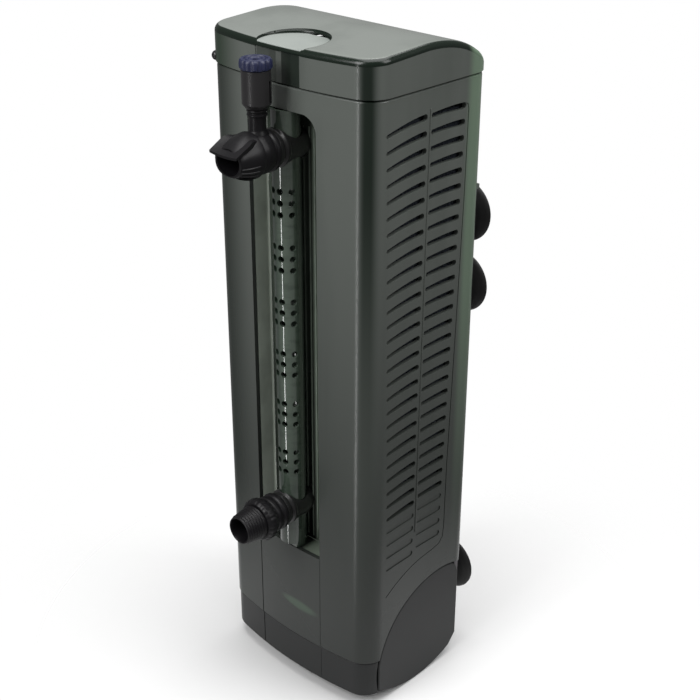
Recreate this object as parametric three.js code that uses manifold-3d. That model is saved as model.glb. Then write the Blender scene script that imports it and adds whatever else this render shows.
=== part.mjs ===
// An internal aquarium filter: a tall louvred casing that hangs on a suction-cup bracket,
// with a spray tube in a front channel, a swivelling nozzle with an air valve, a threaded
// lower outlet, a flip-up lid, filter media inside and a pump in a motor unit that swings down.
// Millimetres, +Z up, the front faces -Y. Heights are measured from the foot of the casing's
// front skirt, and the finished group is moved so that its origin lies on the aquarium glass.
import * as THREE from "three";
import { mergeVertices } from "three/addons/utils/BufferGeometryUtils.js";
import Module from "manifold-3d";

const wasm = await Module();
wasm.setup();

// ---- driving dimensions ----
const gap = 0.3; // between pieces that touch
const far = 150; // reaches past the part
const halfWidth = 50.8;
const depth = 74.5; // front corners to the back face
const frontBulge = 5.8;
const cornerRadius = 11.8;
const backRadius = 8;
const wall = 2.2;

const seamHeight = 312; // between the casing and the lid
const lidHeight = 17.2;
const lidOverhang = 0.5;
const lidWall = 2;
const skirtHeight = 21;

const channelHalf = 21.4; // the open recess in the front
const channelFloor = 75.9;
const channelTop = 301.2;
const channelBack = 6.6;
const channelWall = 1.6;
const channelRound = 8;

const tubeRadius = 6.9; // the spray tube
const tubeWall = 1.6;
const tubeY = channelBack - 1.4 - tubeRadius;
const sprayGroups = 6;
const sprayTopGroup = 259;
const sprayGroupPitch = 26.6;
const sprayRowPitch = 5.5;
const sprayHole = 1.5;
const sprayAngles = [-60, -20, 20, 60]; // degrees from straight ahead

const outletTop = 284.4; // axis heights of the two outlets
const outletLow = 99.4;
const neckRadius = tubeRadius + 1.5;
const neckFront = tubeY - tubeRadius - 3.7;
const outletBore = 5.2;

const louvreRows = 27;
const louvreTop = 299.5;
const louvrePitch = 7.36;

const motorY = 52; // the motor unit turns about this line
const motorZ = 10.5;
const motorRadius = 44.3;
const motorFront = motorY - motorRadius + 0.6;
const motorBack = depth - 5.2;
const bellyRadius = 60;
const bellyY = 38.5;
const bellyLow = -6.8;
const motorWall = 2.4;

const pumpY = 47; // the upright pump shaft
const shaftRadius = 1.2;

const bracketHalf = halfWidth - 3.8;
const bracketLow = 31;
const bracketHigh = 257;
const bracketPlate = 3;
const bracketFront = depth - 4;
const glassY = bracketFront + 15.2; // the aquarium glass
const cupRadius = 15.4;
const cupX = 32;
const cupHeights = [239, 202, 34.4];
const cupNeck = 2.8;

const mediaFloor = 61;
const mediaTop = 299;
const mediaFront = 10.5;
const mediaBack = depth - 8.5;

const hingeY = depth + 3.5;
const hingeZ = seamHeight + 0.15;
const hingeBarrel = 2.6;
const hingePin = 1.1;

const airTubeRadius = 3.7;
const airBodyRadius = 6.4;
const airKnobRadius = 7.1;

const riserY = motorY - 0.598 * motorRadius; // the duct from the pump up to the spray tube
const riserRadius = 6;
const riserBore = 4.4;
const selectorY = 16.4; // the valve in the duct's level part
const selectorRadius = 4.7;
const selectorHigh = 309;
const selectorStem = 2;

// ---- geometry helpers ----

// A closed three.js geometry as a solid that can be joined and cut.
function solid(geometry) {
  const bare = geometry.index ? geometry.toNonIndexed() : geometry.clone();
  for (const name of ["normal", "uv"]) bare.deleteAttribute(name);
  const merged = mergeVertices(bare, 1e-4);
  const corners = merged.index.array;
  const kept = [];
  for (let i = 0; i < corners.length; i += 3) {
    const [a, b, c] = corners.slice(i, i + 3);
    if (a !== b && b !== c && c !== a) kept.push(a, b, c);
  }
  const build = (triVerts) =>
    new wasm.Manifold(
      new wasm.Mesh({
        numProp: 3,
        vertProperties: merged.attributes.position.array,
        triVerts: new Uint32Array(triVerts),
      }),
    );
  const made = build(kept);
  return made.volume() < 0 ? build(kept.reverse()) : made;
}

const join = (first, ...rest) => rest.reduce((sum, next) => sum.add(next), first);
const cut = (first, ...rest) => rest.reduce((left, next) => left.subtract(next), first);

// Turns a shape's own X, Y and extrusion directions to lie square to the named axis.
function aligned(geometry, axis) {
  const turn = new THREE.Matrix4();
  if (axis === "x") turn.set(0, 0, 1, 0, 1, 0, 0, 0, 0, 1, 0, 0, 0, 0, 0, 1);
  if (axis === "y") turn.set(1, 0, 0, 0, 0, 0, -1, 0, 0, 1, 0, 0, 0, 0, 0, 1);
  return geometry.applyMatrix4(turn);
}

// An outline drawn square to an axis and extruded between two places on it.
// The outline is in (y, z) for x, in (x, z) for y and in (x, y) for z.
function prism(axis, outline, low, high) {
  const shape = new THREE.Shape(outline.map(([u, v]) => new THREE.Vector2(u, v)));
  const body = new THREE.ExtrudeGeometry(shape, { depth: high - low, bevelEnabled: false });
  body.translate(0, 0, axis === "y" ? -high : low);
  return solid(aligned(body, axis));
}

function circle(radius, [u, v], sides, start = 0) {
  return Array.from({ length: sides }, (_, i) => {
    const angle = start + (2 * Math.PI * i) / sides;
    return [u + radius * Math.cos(angle), v + radius * Math.sin(angle)];
  });
}

function rod(axis, radius, centre, low, high, sides = 16) {
  return prism(axis, circle(radius, centre, sides), low, high);
}

function block([x0, y0, z0], [x1, y1, z1]) {
  const body = new THREE.BoxGeometry(x1 - x0, y1 - y0, z1 - z0);
  body.translate((x0 + x1) / 2, (y0 + y1) / 2, (z0 + z1) / 2);
  return solid(body);
}

// A profile of [radius, place along the axis] turned about an axis through a centre.
function turned(axis, profile, [u, v], sides = 16) {
  const points = profile.map(([r, along]) => new THREE.Vector2(r, along));
  if (profile[0][0] > 0) points.push(points[0].clone());
  const body = new THREE.LatheGeometry(points, sides);
  body.rotateX(Math.PI / 2);
  if (axis === "y") body.rotateX(Math.PI / 2);
  if (axis === "y") body.scale(1, -1, 1);
  if (axis === "y") body.translate(u, 0, v);
  if (axis === "z") body.translate(u, v, 0);
  return solid(body);
}

function mirrored([x0, y0, z0], [x1, y1, z1]) {
  return [block([x0, y0, z0], [x1, y1, z1]), block([-x1, y0, z0], [-x0, y1, z1])];
}

// ---- the body's outline, seen from above ----
const arcRadius = (halfWidth ** 2 + frontBulge ** 2) / (2 * frontBulge);
const arcY = arcRadius - frontBulge;
const cornerX = halfWidth - cornerRadius;
const cornerY = arcY - Math.sqrt((arcRadius - cornerRadius) ** 2 - cornerX ** 2);
const tangent = Math.atan2(cornerY - arcY, cornerX);
const frontAt = (x) => arcY - Math.sqrt(arcRadius ** 2 - x ** 2);

function bodyOutline(grow = 0) {
  const points = [];
  const arc = (x, y, radius, from, to, steps) => {
    for (let i = 0; i <= steps; i += 1) {
      const angle = from + ((to - from) * i) / steps;
      const next = [x + radius * Math.cos(angle), y + radius * Math.sin(angle)];
      const last = points.at(-1);
      if (!last || Math.hypot(next[0] - last[0], next[1] - last[1]) > 0.01) points.push(next);
    }
  };
  const backX = halfWidth - backRadius;
  const backY = depth - backRadius;
  arc(0, arcY, arcRadius + grow, -Math.PI - tangent, tangent, 12);
  arc(cornerX, cornerY, cornerRadius + grow, tangent, 0, 5);
  arc(backX, backY, backRadius + grow, 0, Math.PI / 2, 4);
  arc(-backX, backY, backRadius + grow, Math.PI / 2, Math.PI, 4);
  arc(-cornerX, cornerY, cornerRadius + grow, -Math.PI, -Math.PI - tangent, 5);
  points.pop();
  return points;
}

const bodyPrism = (grow, low, high) => prism("z", bodyOutline(grow), low, high);
const motorCircle = (grow) => rod("x", motorRadius + grow, [motorY, motorZ], -far, far, 48);

// ---- colours ----
const smoke = { color: 0x3c403c, roughness: 0.3, metalness: 0 };
const clearGreen = { color: 0x5d7266, roughness: 0.15, metalness: 0 };
const darkGrey = { color: 0x343435, roughness: 0.45, metalness: 0 };
const plumGrey = { color: 0x3c383e, roughness: 0.4, metalness: 0 };
const nearBlack = { color: 0x161515, roughness: 0.4, metalness: 0 };
const navy = { color: 0x2d3264, roughness: 0.35, metalness: 0 };
const rubber = { color: 0x1e1e1e, roughness: 0.6, metalness: 0 };
const bracketGrey = { color: 0x5a5558, roughness: 0.5, metalness: 0 };
const foam = { color: 0x2c2f33, roughness: 1, metalness: 0 };
const carbon = { color: 0x1d1d1d, roughness: 0.9, metalness: 0 };
const ceramic = { color: 0xd9cbb4, roughness: 0.7, metalness: 0 };
const steel = { color: 0x8c8f92, roughness: 0.35, metalness: 1 };
const copper = { color: 0xb06a3a, roughness: 0.35, metalness: 1 };
const white = { color: 0xe8e6e0, roughness: 0.4, metalness: 0 };

const filter = new THREE.Group();

function add(name, body, look) {
  const mesh = body.getMesh();
  const geometry = new THREE.BufferGeometry();
  geometry.setAttribute("position", new THREE.BufferAttribute(mesh.vertProperties, 3));
  geometry.setIndex(new THREE.BufferAttribute(mesh.triVerts, 1));
  geometry.computeVertexNormals();
  const piece = new THREE.Mesh(geometry, new THREE.MeshStandardMaterial(look));
  piece.name = name;
  filter.add(piece);
}

// ---- casing ----
const recessHalf = bracketHalf + gap;
const recessY = bracketFront - gap;
const lugInner = 31;
const lugOuter = 38;

// Two columns of gill slots down each side wall, which close up towards the foot.
function louvres() {
  const slots = [];
  for (let row = 0; row < louvreRows; row += 1) {
    const share = row / (louvreRows - 1);
    const z = louvreTop - louvrePitch * row;
    const blend = (top, foot) => top + (foot - top) * share;
    const columns = [
      { front: blend(7.9, 12), back: blend(33.2, 31.5), rise: blend(3.3, 1.3) },
      { front: blend(36.3, 34.5), back: blend(59, 52.5), rise: 0 },
    ];
    for (const { front, back, rise } of columns) {
      const outline = [
        [front, z - 0.5],
        [back, z + rise - 1.3],
        [back, z + rise + 1.3],
        [front, z + 0.5],
      ];
      slots.push(prism("x", outline, halfWidth - wall - 3, halfWidth + 1));
      slots.push(prism("x", outline, -halfWidth - 1, wall + 3 - halfWidth));
    }
  }
  return slots;
}

// The front recess, seen from the front: square at the foot and rounded at the top.
function channelOutline(grow) {
  const half = channelHalf + grow;
  const high = channelTop + grow;
  const radius = channelRound + grow;
  const points = [
    [-half, channelFloor - grow],
    [half, channelFloor - grow],
  ];
  for (const side of [1, -1]) {
    for (let i = 0; i <= 4; i += 1) {
      const angle = ((side > 0 ? i : 4 - i) * Math.PI) / 8;
      const x = side * (half - radius + radius * Math.cos(angle));
      points.push([x, high - radius + radius * Math.sin(angle)]);
    }
  }
  return points;
}

function casingShell() {
  const top = seamHeight - gap;
  const foot = skirtHeight + gap;
  const outside = cut(
    bodyPrism(0, foot, top),
    block([-recessHalf, recessY, foot - 1], [recessHalf, depth + 1, bracketHigh + gap]),
  );
  const inside = cut(
    bodyPrism(-wall, foot - 1, top + 1),
    block([-halfWidth, recessY - wall, foot - 2], [halfWidth, depth, bracketHigh + gap + wall]),
  );
  const mouth = prism("y", channelOutline(0), -20, 4);
  const lugWeb = [depth - wall / 2, hingeY, hingeZ - hingeBarrel, top];
  const lugs = [];
  for (const side of [-1, 1]) {
    const [low, high] = [side * lugInner, side * lugOuter].sort((a, b) => a - b);
    lugs.push(rod("x", hingeBarrel, [hingeY, hingeZ], low, high, 16));
    lugs.push(block([low, lugWeb[0], lugWeb[2]], [high, lugWeb[1], lugWeb[3]]));
  }
  const shell = cut(outside, inside, mouth, motorCircle(0.5), ...louvres());
  return cut(join(shell, ...lugs), rod("x", hingePin + gap, [hingeY, hingeZ], -far, far, 12));
}

// The trough behind the opening in the casing's front.
function frontChannel() {
  const inset = -(wall + gap);
  const slab = prism("y", channelOutline(channelWall), -12, channelBack + channelWall);
  const trimmed = slab.intersect(bodyPrism(inset, channelFloor - 9, channelTop + 9));
  const hollow = prism("y", channelOutline(0), -14, channelBack);
  return cut(trimmed, hollow, rod("y", outletBore, [0, outletTop], 0, 20, 16));
}

function sprayTube() {
  const low = channelFloor + gap;
  const high = channelTop - gap;
  const inner = tubeRadius - tubeWall;
  const outside = rod("z", tubeRadius, [0, tubeY], low, high, 24);
  const bore = rod("z", inner, [0, tubeY], low + tubeWall, high + 1, 24);
  const ports = [outletTop, outletLow].map((z) => rod("y", outletBore - 0.6, [0, z], -20, tubeY, 12));
  const feed = rod("y", outletBore - 0.6, [0, outletTop], tubeY, 20, 12);
  const holes = [];
  const start = sprayTopGroup;
  for (let group = 0; group < sprayGroups; group += 1) {
    for (const row of [-1, 0, 1]) {
      const z = start - group * sprayGroupPitch + row * sprayRowPitch;
      for (const degrees of sprayAngles) {
        const hole = new THREE.CylinderGeometry(sprayHole, sprayHole, 4, 6);
        hole.translate(0, -tubeRadius, 0);
        hole.rotateZ((degrees * Math.PI) / 180);
        hole.translate(0, tubeY, z);
        holes.push(solid(hole));
      }
    }
  }
  // The foot of the tube is trimmed flush with the front of the channel's floor.
  const proud = block([-12, -20, low - 1], [12, frontAt(0) + gap, low + 2]);
  return cut(outside, bore, ...ports, feed, proud, ...holes);
}

// A short branch that clasps the tube and carries an outlet in front.
function outletTee(z) {
  const back = channelBack - gap;
  const branch = rod("y", neckRadius, [0, z], neckFront, back, 24);
  const tube = rod("z", tubeRadius + gap, [0, tubeY], z - 20, z + 20, 24);
  return cut(branch, tube, rod("y", outletBore, [0, z], neckFront - 1, tubeY, 16));
}

// The upper branch is fed from behind, so its bore goes right through.
const feedBore = rod("y", outletBore, [0, outletTop], 0, channelBack + 1);

function baseSkirt() {
  return cut(
    bodyPrism(-0.6, 0, skirtHeight - gap),
    bodyPrism(-0.6 - wall, wall, skirtHeight + 1),
    block([-far, motorFront - 0.4, -1], [far, depth + 5, skirtHeight + 1]),
    motorCircle(0.6),
  );
}

// ---- lid ----
const lidTop = seamHeight + lidHeight;
const scoopRadius = 16.4;
const scoopDeep = 1;
const knuckleInner = 22;

// The lid's side view: level in front, rolling down to a rounded rear edge.
function lidProfile(inset) {
  const fall = [0, 0.6, 2.1, 4.2, 6.7, 10.6, 13.4];
  const before = [28.5, 23.5, 17.5, 11.5, 5.5, 1, -0.1];
  const roll = fall.map((drop, i) => [depth - before[i], lidTop - drop - inset]);
  const end = [depth + 20, lidTop - 17 - inset];
  return [[-30, lidTop - inset], ...roll, end, [depth + 20, seamHeight - 5], [-30, seamHeight - 5]];
}

function lidOutside() {
  const bevel = 3;
  const shape = new THREE.Shape(bodyOutline(lidOverhang).map(([x, y]) => new THREE.Vector2(x, y)));
  const capped = new THREE.ExtrudeGeometry(shape, {
    depth: lidHeight,
    bevelThickness: bevel,
    bevelSize: bevel * 0.8,
    bevelOffset: -bevel * 0.8,
    bevelSegments: 2,
  });
  capped.translate(0, 0, seamHeight - bevel);
  return solid(capped).intersect(prism("x", lidProfile(0), -far, far));
}

function lid() {
  const foot = seamHeight + gap;
  const inside = bodyPrism(lidOverhang - lidWall, foot - 9, lidTop - 3).intersect(
    prism("x", lidProfile(lidWall), -far, far),
  );
  const scoop = rod("z", scoopRadius, [0, 3.5], lidTop - scoopDeep, lidTop + 5, 32);
  const gripHalf = Math.sqrt(scoopRadius ** 2 - (3.5 + frontBulge) ** 2);
  const grip = block([-gripHalf, -20, foot - 1], [gripHalf, -frontBulge + 0.4, lidTop - 3]);
  const knuckles = [];
  for (const side of [-1, 1]) {
    const [low, high] = [side * knuckleInner, side * (lugInner - 0.4)].sort((a, b) => a - b);
    knuckles.push(rod("x", hingeBarrel, [hingeY, hingeZ], low, high, 16));
    knuckles.push(block([low, depth - 1, foot], [high, hingeY, hingeZ + hingeBarrel]));
  }
  const shell = cut(lidOutside(), inside, block([-far, -30, foot - 20], [far, far, foot]), scoop, grip);
  return cut(join(shell, ...knuckles), rod("x", hingePin + gap, [hingeY, hingeZ], -far, far, 12));
}

// A small rounded lift tab at the lid's left front corner.
function lidTab() {
  const angle = Math.PI * 1.24;
  const reach = cornerRadius + lidOverhang + gap;
  const body = new THREE.SphereGeometry(2.3, 12, 8);
  body.translate(reach * Math.cos(angle) - cornerX, reach * Math.sin(angle) + cornerY, 0);
  body.translate(0, 0, seamHeight + 2.6);
  return cut(solid(body), bodyPrism(lidOverhang + gap, seamHeight - 5, lidTop));
}

// ---- top outlet, nozzle and air valve ----
const collarBack = neckFront - gap;
const collarFront = collarBack - 10;
const airY = collarBack - 5.7; // the air valve's upright axis
const nozzleBack = collarFront - gap;
const nozzleMouth = nozzleBack - 12.7;
const bodyLow = 304;
const knobLow = 320.8;

function nozzleCollar() {
  const ring = turned(
    "y",
    [
      [outletBore, collarBack],
      [9.2, collarBack],
      [9.6, collarBack - 0.8],
      [9.6, collarBack - 2.4],
      [8.8, collarBack - 2.8],
      [8.8, collarBack - 3.6],
      [9.5, collarBack - 4.2],
      [9.3, collarFront],
      [outletBore, collarFront],
    ],
    [0, outletTop],
    20,
  );
  const branch = rod("z", airTubeRadius, [0, airY], outletTop + 6, bodyLow - gap);
  const bore = rod("z", 1.6, [0, airY], outletTop, bodyLow + 1, 8);
  return cut(join(ring, branch), bore, rod("y", outletBore, [0, outletTop], -far, 0));
}

function airBody() {
  const r = airBodyRadius;
  return turned(
    "z",
    [
      [1.6, bodyLow],
      [r - 1.4, bodyLow],
      [r, bodyLow + 2],
      [r, knobLow - gap],
      [3, knobLow - gap],
      [3, bodyLow + 6],
      [1.6, bodyLow + 5],
    ],
    [0, airY],
    20,
  );
}

function airKnob() {
  const r = airKnobRadius;
  const top = knobLow + 4.3;
  const cap = turned(
    "z",
    [
      [0, knobLow - 9],
      [2, knobLow - 9],
      [2, knobLow],
      [r - 0.3, knobLow],
      [r, knobLow + 1],
      [r, top - 0.8],
      [r - 0.8, top],
      [4.4, top],
      [4.1, top - 0.7],
      [1, top - 0.7],
      [1, top - 2.5],
      [0, top - 2.5],
    ],
    [0, airY],
    24,
  );
  const flutes = circle(r + 0.5, [0, airY], 12).map((at) => rod("z", 0.9, at, knobLow - 1, top + 1, 6));
  return cut(cap, ...flutes);
}

function nozzle() {
  const z = outletTop;
  const shell = turned(
    "y",
    [
      [outletBore, nozzleBack],
      [10.2, nozzleBack],
      [10.3, nozzleBack - 2.4],
      [9.6, nozzleBack - 6],
      [8.4, nozzleBack - 9.5],
      [7.1, nozzleMouth],
      [5.9, nozzleMouth],
      [5.6, nozzleMouth + 4],
    ],
    [0, z],
    24,
  );
  const bill = prism(
    "x",
    [
      [nozzleBack - 1, z + 4],
      [nozzleBack - 1, z + 9.6],
      [nozzleBack - 7, z + 8.2],
      [nozzleMouth - 2.8, z + 4],
      [nozzleMouth - 2.8, z + 3],
      [nozzleMouth, z + 3],
    ],
    -8.5,
    8.5,
  );
  const mouth = rod("y", 5.9, [0, z], nozzleMouth - 9, nozzleMouth + 0.5);
  const bore = rod("y", outletBore, [0, z], -far, 0);
  return cut(join(shell, bill), mouth, bore);
}

// ---- lower outlet ----
const lowCollarBack = neckFront - gap;
const lowCollarFront = lowCollarBack - 9.4;

function lowerCollar() {
  return turned(
    "y",
    [
      [outletBore, lowCollarBack],
      [9.2, lowCollarBack],
      [9.4, lowCollarBack - 1],
      [8.7, lowCollarBack - 1.5],
      [8.7, lowCollarBack - 2.3],
      [9.4, lowCollarBack - 2.8],
      [9.9, lowCollarBack - 4.4],
      [10.1, lowCollarFront + 0.8],
      [9.4, lowCollarFront],
      [outletBore, lowCollarFront],
    ],
    [0, outletLow],
    20,
  );
}

function threadedOutlet() {
  const back = lowCollarFront - gap;
  const front = lowCollarFront - 16;
  const profile = [[outletBore, back]];
  const turns = 7;
  for (let i = 0; i <= turns; i += 1) {
    const y = back + ((front + 2 - back) * i) / turns;
    const r = 8.1 - (0.8 * i) / turns;
    profile.push([r, y]);
    profile.push([r - 0.5, y - 0.9]);
  }
  profile.push([7, front], [6.2, front], [6, front + 4], [outletBore, back - 4]);
  return turned("y", profile, [0, outletLow]);
}

// ---- water way from the pump to the top of the tube ----
const bossTop = outletTop + selectorRadius + 3.2;

function riserDuct() {
  const back = channelBack + channelWall + gap;
  const boss = selectorRadius + 2.2;
  const pipe = rod("z", riserRadius, [0, riserY], 30, outletTop + riserRadius);
  const cross = rod("y", riserRadius, [0, outletTop], back, riserY);
  const valve = rod("z", boss, [0, selectorY], outletTop - boss, bossTop);
  const seat = selectorRadius + gap;
  const bores = [
    rod("z", riserBore, [0, riserY], 20, outletTop, 16),
    rod("y", riserBore, [0, outletTop], 0, riserY, 16),
    rod("z", seat, [0, selectorY], outletTop - seat, bossTop - 1.6, 20),
    rod("z", selectorStem + gap, [0, selectorY], outletTop, bossTop + 1, 12),
  ];
  return cut(join(pipe, cross, valve), ...bores, motorCircle(0.5));
}

// The turning plug of the valve, with a knob that is reached under the lid.
function flowSelector() {
  const low = outletTop - selectorRadius;
  const plug = rod("z", selectorRadius, [0, selectorY], low, bossTop - 1.6 - gap);
  const stem = rod("z", selectorStem, [0, selectorY], outletTop + 2, selectorHigh - 2, 12);
  const knob = rod("z", 8, [0, selectorY], selectorHigh - 6, selectorHigh);
  const grips = circle(8.8, [0, selectorY], 8).map((at) => {
    return rod("z", 1.8, at, selectorHigh - 8, selectorHigh + 1, 8);
  });
  const passage = rod("y", riserBore, [0, outletTop], 0, 30);
  return cut(join(plug, stem, knob), passage, ...grips);
}

// ---- filter media ----
function mediaTray() {
  const half = halfWidth - wall - 1;
  const back = recessY - wall - 0.6;
  const plate = block([-half, mediaFront - 1, mediaFloor - 2.8], [half, back, mediaFloor - gap]);
  const riserGap = block([-riserRadius - 1, 0, 0], [riserRadius + 1, riserY + riserRadius + 1, 100]);
  const channelGap = block([-30, 0, 0], [30, 12, 100]);
  const inlet = rod("z", 8, [0, pumpY + 3], 0, 100);
  const slots = [];
  for (const x of [28, 41]) {
    for (const y of [20, 36, 52]) slots.push(...mirrored([x - 4, y - 5, 0], [x + 4, y + 5, 100]));
  }
  return cut(plate, riserGap, channelGap, inlet, ...slots);
}

const foamOuter = halfWidth - wall - 0.6;
const foamThick = 12.5;
const cartridgeOuter = foamOuter - foamThick - gap;
const cartridgeThick = 11;
const basketHalf = cartridgeOuter - cartridgeThick - gap;
const basketFront = riserY + riserRadius + 1;

function sidePiece(outer, thick, side) {
  const [low, high] = [side * (outer - thick), side * outer].sort((a, b) => a - b);
  return block([low, mediaFront, mediaFloor], [high, mediaBack, mediaTop]);
}

function cartridge(side) {
  const body = sidePiece(cartridgeOuter, cartridgeThick, side);
  const ribs = [];
  for (let i = 1; i < 6; i += 1) {
    const z = mediaFloor + ((mediaTop - mediaFloor) * i) / 6;
    const outer = side * cartridgeOuter;
    const edges = [outer - side * 1.5, outer + side].sort((a, b) => a - b);
    ribs.push(block([edges[0], mediaFront + 4, z - 17], [edges[1], mediaBack - 4, z + 17]));
  }
  return cut(body, ...ribs);
}

function mediaBasket() {
  const thin = 1.5;
  const half = basketHalf;
  const outside = block([-half, basketFront, mediaFloor], [half, mediaBack, mediaTop]);
  const inside = block(
    [thin - half, basketFront + thin, mediaFloor + thin],
    [half - thin, mediaBack - thin, mediaTop + 1],
  );
  const vents = [];
  for (let i = 0; i < 9; i += 1) {
    const z = mediaFloor + 18 + i * 26;
    vents.push(block([-half - 1, basketFront + 6, z - 8], [half + 1, mediaBack - 6, z + 8]));
  }
  const drain = block([-14, basketFront + 6, mediaFloor - 1], [14, mediaBack - 6, mediaFloor + 3]);
  return cut(outside, inside, drain, ...vents);
}

function bioMedia() {
  const inset = 1.5 + gap;
  const half = basketHalf - inset;
  return block(
    [-half, basketFront + inset, mediaFloor + inset],
    [half, mediaBack - inset, mediaTop - 12],
  );
}

// ---- motor unit ----

// The side outline of the motor unit: a quarter-round top on a shallow curved belly.
function motorOutline(inset) {
  const radius = motorRadius - inset;
  const front = motorFront + inset;
  const back = motorBack - inset;
  const points = [];
  const lowAngle = Math.PI - Math.asin(Math.sqrt(1 - ((motorY - front) / radius) ** 2));
  const highAngle = Math.acos((motorBack - 5.3 - motorY) / radius);
  for (let i = 0; i <= 14; i += 1) {
    const angle = lowAngle + ((highAngle - lowAngle) * i) / 14;
    points.push([motorY + radius * Math.cos(angle), motorZ + radius * Math.sin(angle)]);
  }
  points.push([back, motorZ + 0.8 * motorRadius], [back, 5 + inset]);
  const bellyCentre = bellyLow + bellyRadius;
  const bellyAt = (y) => bellyCentre - Math.sqrt((bellyRadius - inset) ** 2 - (y - bellyY) ** 2);
  for (let i = 0; i <= 6; i += 1) {
    const foot = motorBack - 5.3 - inset;
    const y = foot + ((front - foot) * i) / 6;
    points.push([y, bellyAt(y)]);
  }
  return points.reverse();
}

const pumpTop = motorZ + motorRadius - 9.8;
const pumpFloor = pumpTop - 11; // under the impeller
const volute = 0.3725 * motorRadius;
const glandZ = 20;

function motorHousing() {
  const half = halfWidth - 0.2;
  const outside = prism("x", motorOutline(0), -half, half);
  const inside = prism("x", motorOutline(motorWall), motorWall - half, half - motorWall);
  const service = block([-30, 22, -20], [30, 58, 2]);
  const inlet = rod("z", 8, [0, pumpY], pumpTop - 5, pumpTop + 25);
  const outlet = rod("z", 3.4, [0, riserY], pumpFloor + 2, pumpFloor + 26, 12);
  const gland = rod("y", 4 + gap, [0, glandZ], 60, 80);
  return cut(outside, inside, service, inlet, outlet, gland);
}

function motorCover() {
  const plate = block([-30 + gap, 22 + gap, -20], [30 - gap, 58 - gap, 20]);
  const skin = cut(
    prism("x", motorOutline(0.2), -40, 40),
    prism("x", motorOutline(motorWall), -45, 45),
  );
  return plate.intersect(skin).intersect(block([-40, 0, -20], [40, 70, 2]));
}

function cableGland() {
  return turned(
    "y",
    [
      [2.4, motorBack - 6],
      [4, motorBack - 6],
      [4, motorBack - 0.2],
      [4, motorBack + 0.8],
      [2.4, motorBack + 0.8],
    ],
    [0, glandZ],
    16,
  );
}

const wellRadius = 11;
const wellFloor = 2;

function rotorWell() {
  const flange = [wellRadius + 6, pumpFloor - gap];
  return turned(
    "z",
    [
      [0, wellFloor],
      [wellRadius, wellFloor],
      [wellRadius, pumpFloor - 2],
      [flange[0], pumpFloor - 2],
      [flange[0], flange[1]],
      [wellRadius - 1.2, flange[1]],
      [wellRadius - 1.2, wellFloor + 1.2],
      [0, wellFloor + 1.2],
    ],
    [0, pumpY],
    24,
  );
}

const bushLow = wellFloor + 1.2 + gap;

function bushing(low, high) {
  return cut(
    rod("z", 3.6, [0, pumpY], low, high, 16),
    rod("z", shaftRadius + 0.1, [0, pumpY], low - 1, high + 1, 12),
  );
}

function rotorMagnet() {
  return cut(
    rod("z", wellRadius - 2, [0, pumpY], bushLow + 4, pumpFloor - 1, 20),
    rod("z", shaftRadius + gap, [0, pumpY], 0, 60, 12),
  );
}

function impeller() {
  const low = pumpFloor - 1 + gap;
  const hub = rod("z", 4.5, [0, pumpY], low, pumpTop - 4.5);
  const disc = rod("z", volute - 4, [0, pumpY], low + 1.6, low + 2.8, 24);
  const vanes = [];
  for (let i = 0; i < 6; i += 1) {
    const vane = new THREE.BoxGeometry(volute - 6, 1, 5);
    vane.translate((volute - 6) / 2 + 2, 0, low + 5);
    vane.rotateZ((i * Math.PI) / 3);
    vane.translate(0, pumpY, 0);
    vanes.push(solid(vane));
  }
  return cut(join(hub, disc, ...vanes), rod("z", shaftRadius + gap, [0, pumpY], 0, 60, 12));
}

// The volute over the impeller, with its inlet neck and its way out to the riser.
function pumpCover() {
  const drum = rod("z", volute, [0, pumpY], pumpFloor, pumpTop, 24);
  const neck = rod("z", 7.6, [0, pumpY], pumpTop - 1, pumpTop + 6.5);
  const duct = block([-4.6, riserY - 2.6, pumpFloor], [4.6, pumpY - 8, pumpFloor + 5.6]);
  const room = rod("z", volute - 1.5, [0, pumpY], pumpFloor - 1, pumpTop - 1.5, 24);
  const eye = rod("z", 6, [0, pumpY], pumpTop - 3, pumpTop + 10);
  const way = block([-3.1, riserY - 1.2, pumpFloor - 1], [3.1, pumpY - 8, pumpFloor + 4.2]);
  const port = rod("z", 1.9, [0, riserY + 0.8], pumpFloor + 3, pumpFloor + 11, 10);
  const seat = [
    block([-7, pumpY - 1.2, pumpTop - 1.5], [7, pumpY + 1.2, pumpTop + 2.5]),
    rod("z", 5, [0, pumpY], pumpTop - 1.5, pumpTop + 2.5, 16),
  ];
  const socket = rod("z", 3.6 + gap, [0, pumpY], pumpTop - 3, pumpTop + 1.5);
  const hollow = cut(join(drum, neck, duct), room, eye, way, port);
  return cut(join(hollow, ...seat), socket, rod("z", shaftRadius + gap, [0, pumpY], 0, 60, 12));
}

function statorCore() {
  const outside = block([-24, pumpY - 17, 8], [24, pumpY + 16, pumpFloor - 8]);
  const pole = rod("z", wellRadius + gap, [0, pumpY], 0, 40, 24);
  const window1 = block([-40, pumpY - 8, 0], [-16.5, pumpY + 8, 40]);
  const window2 = block([16.5, pumpY - 8, 0], [40, pumpY + 8, 40]);
  return cut(outside, pole, window1, window2);
}

function coil(side) {
  const [low, high] = [side * 16.8, side * 30].sort((a, b) => a - b);
  const body = block([low, pumpY - 7.7, 4], [high, pumpY + 7.7, pumpFloor - 4]);
  const core = block([low - 1, pumpY - 3, 9], [high + 1, pumpY + 3, pumpFloor - 9]);
  return cut(body, core);
}

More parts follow.
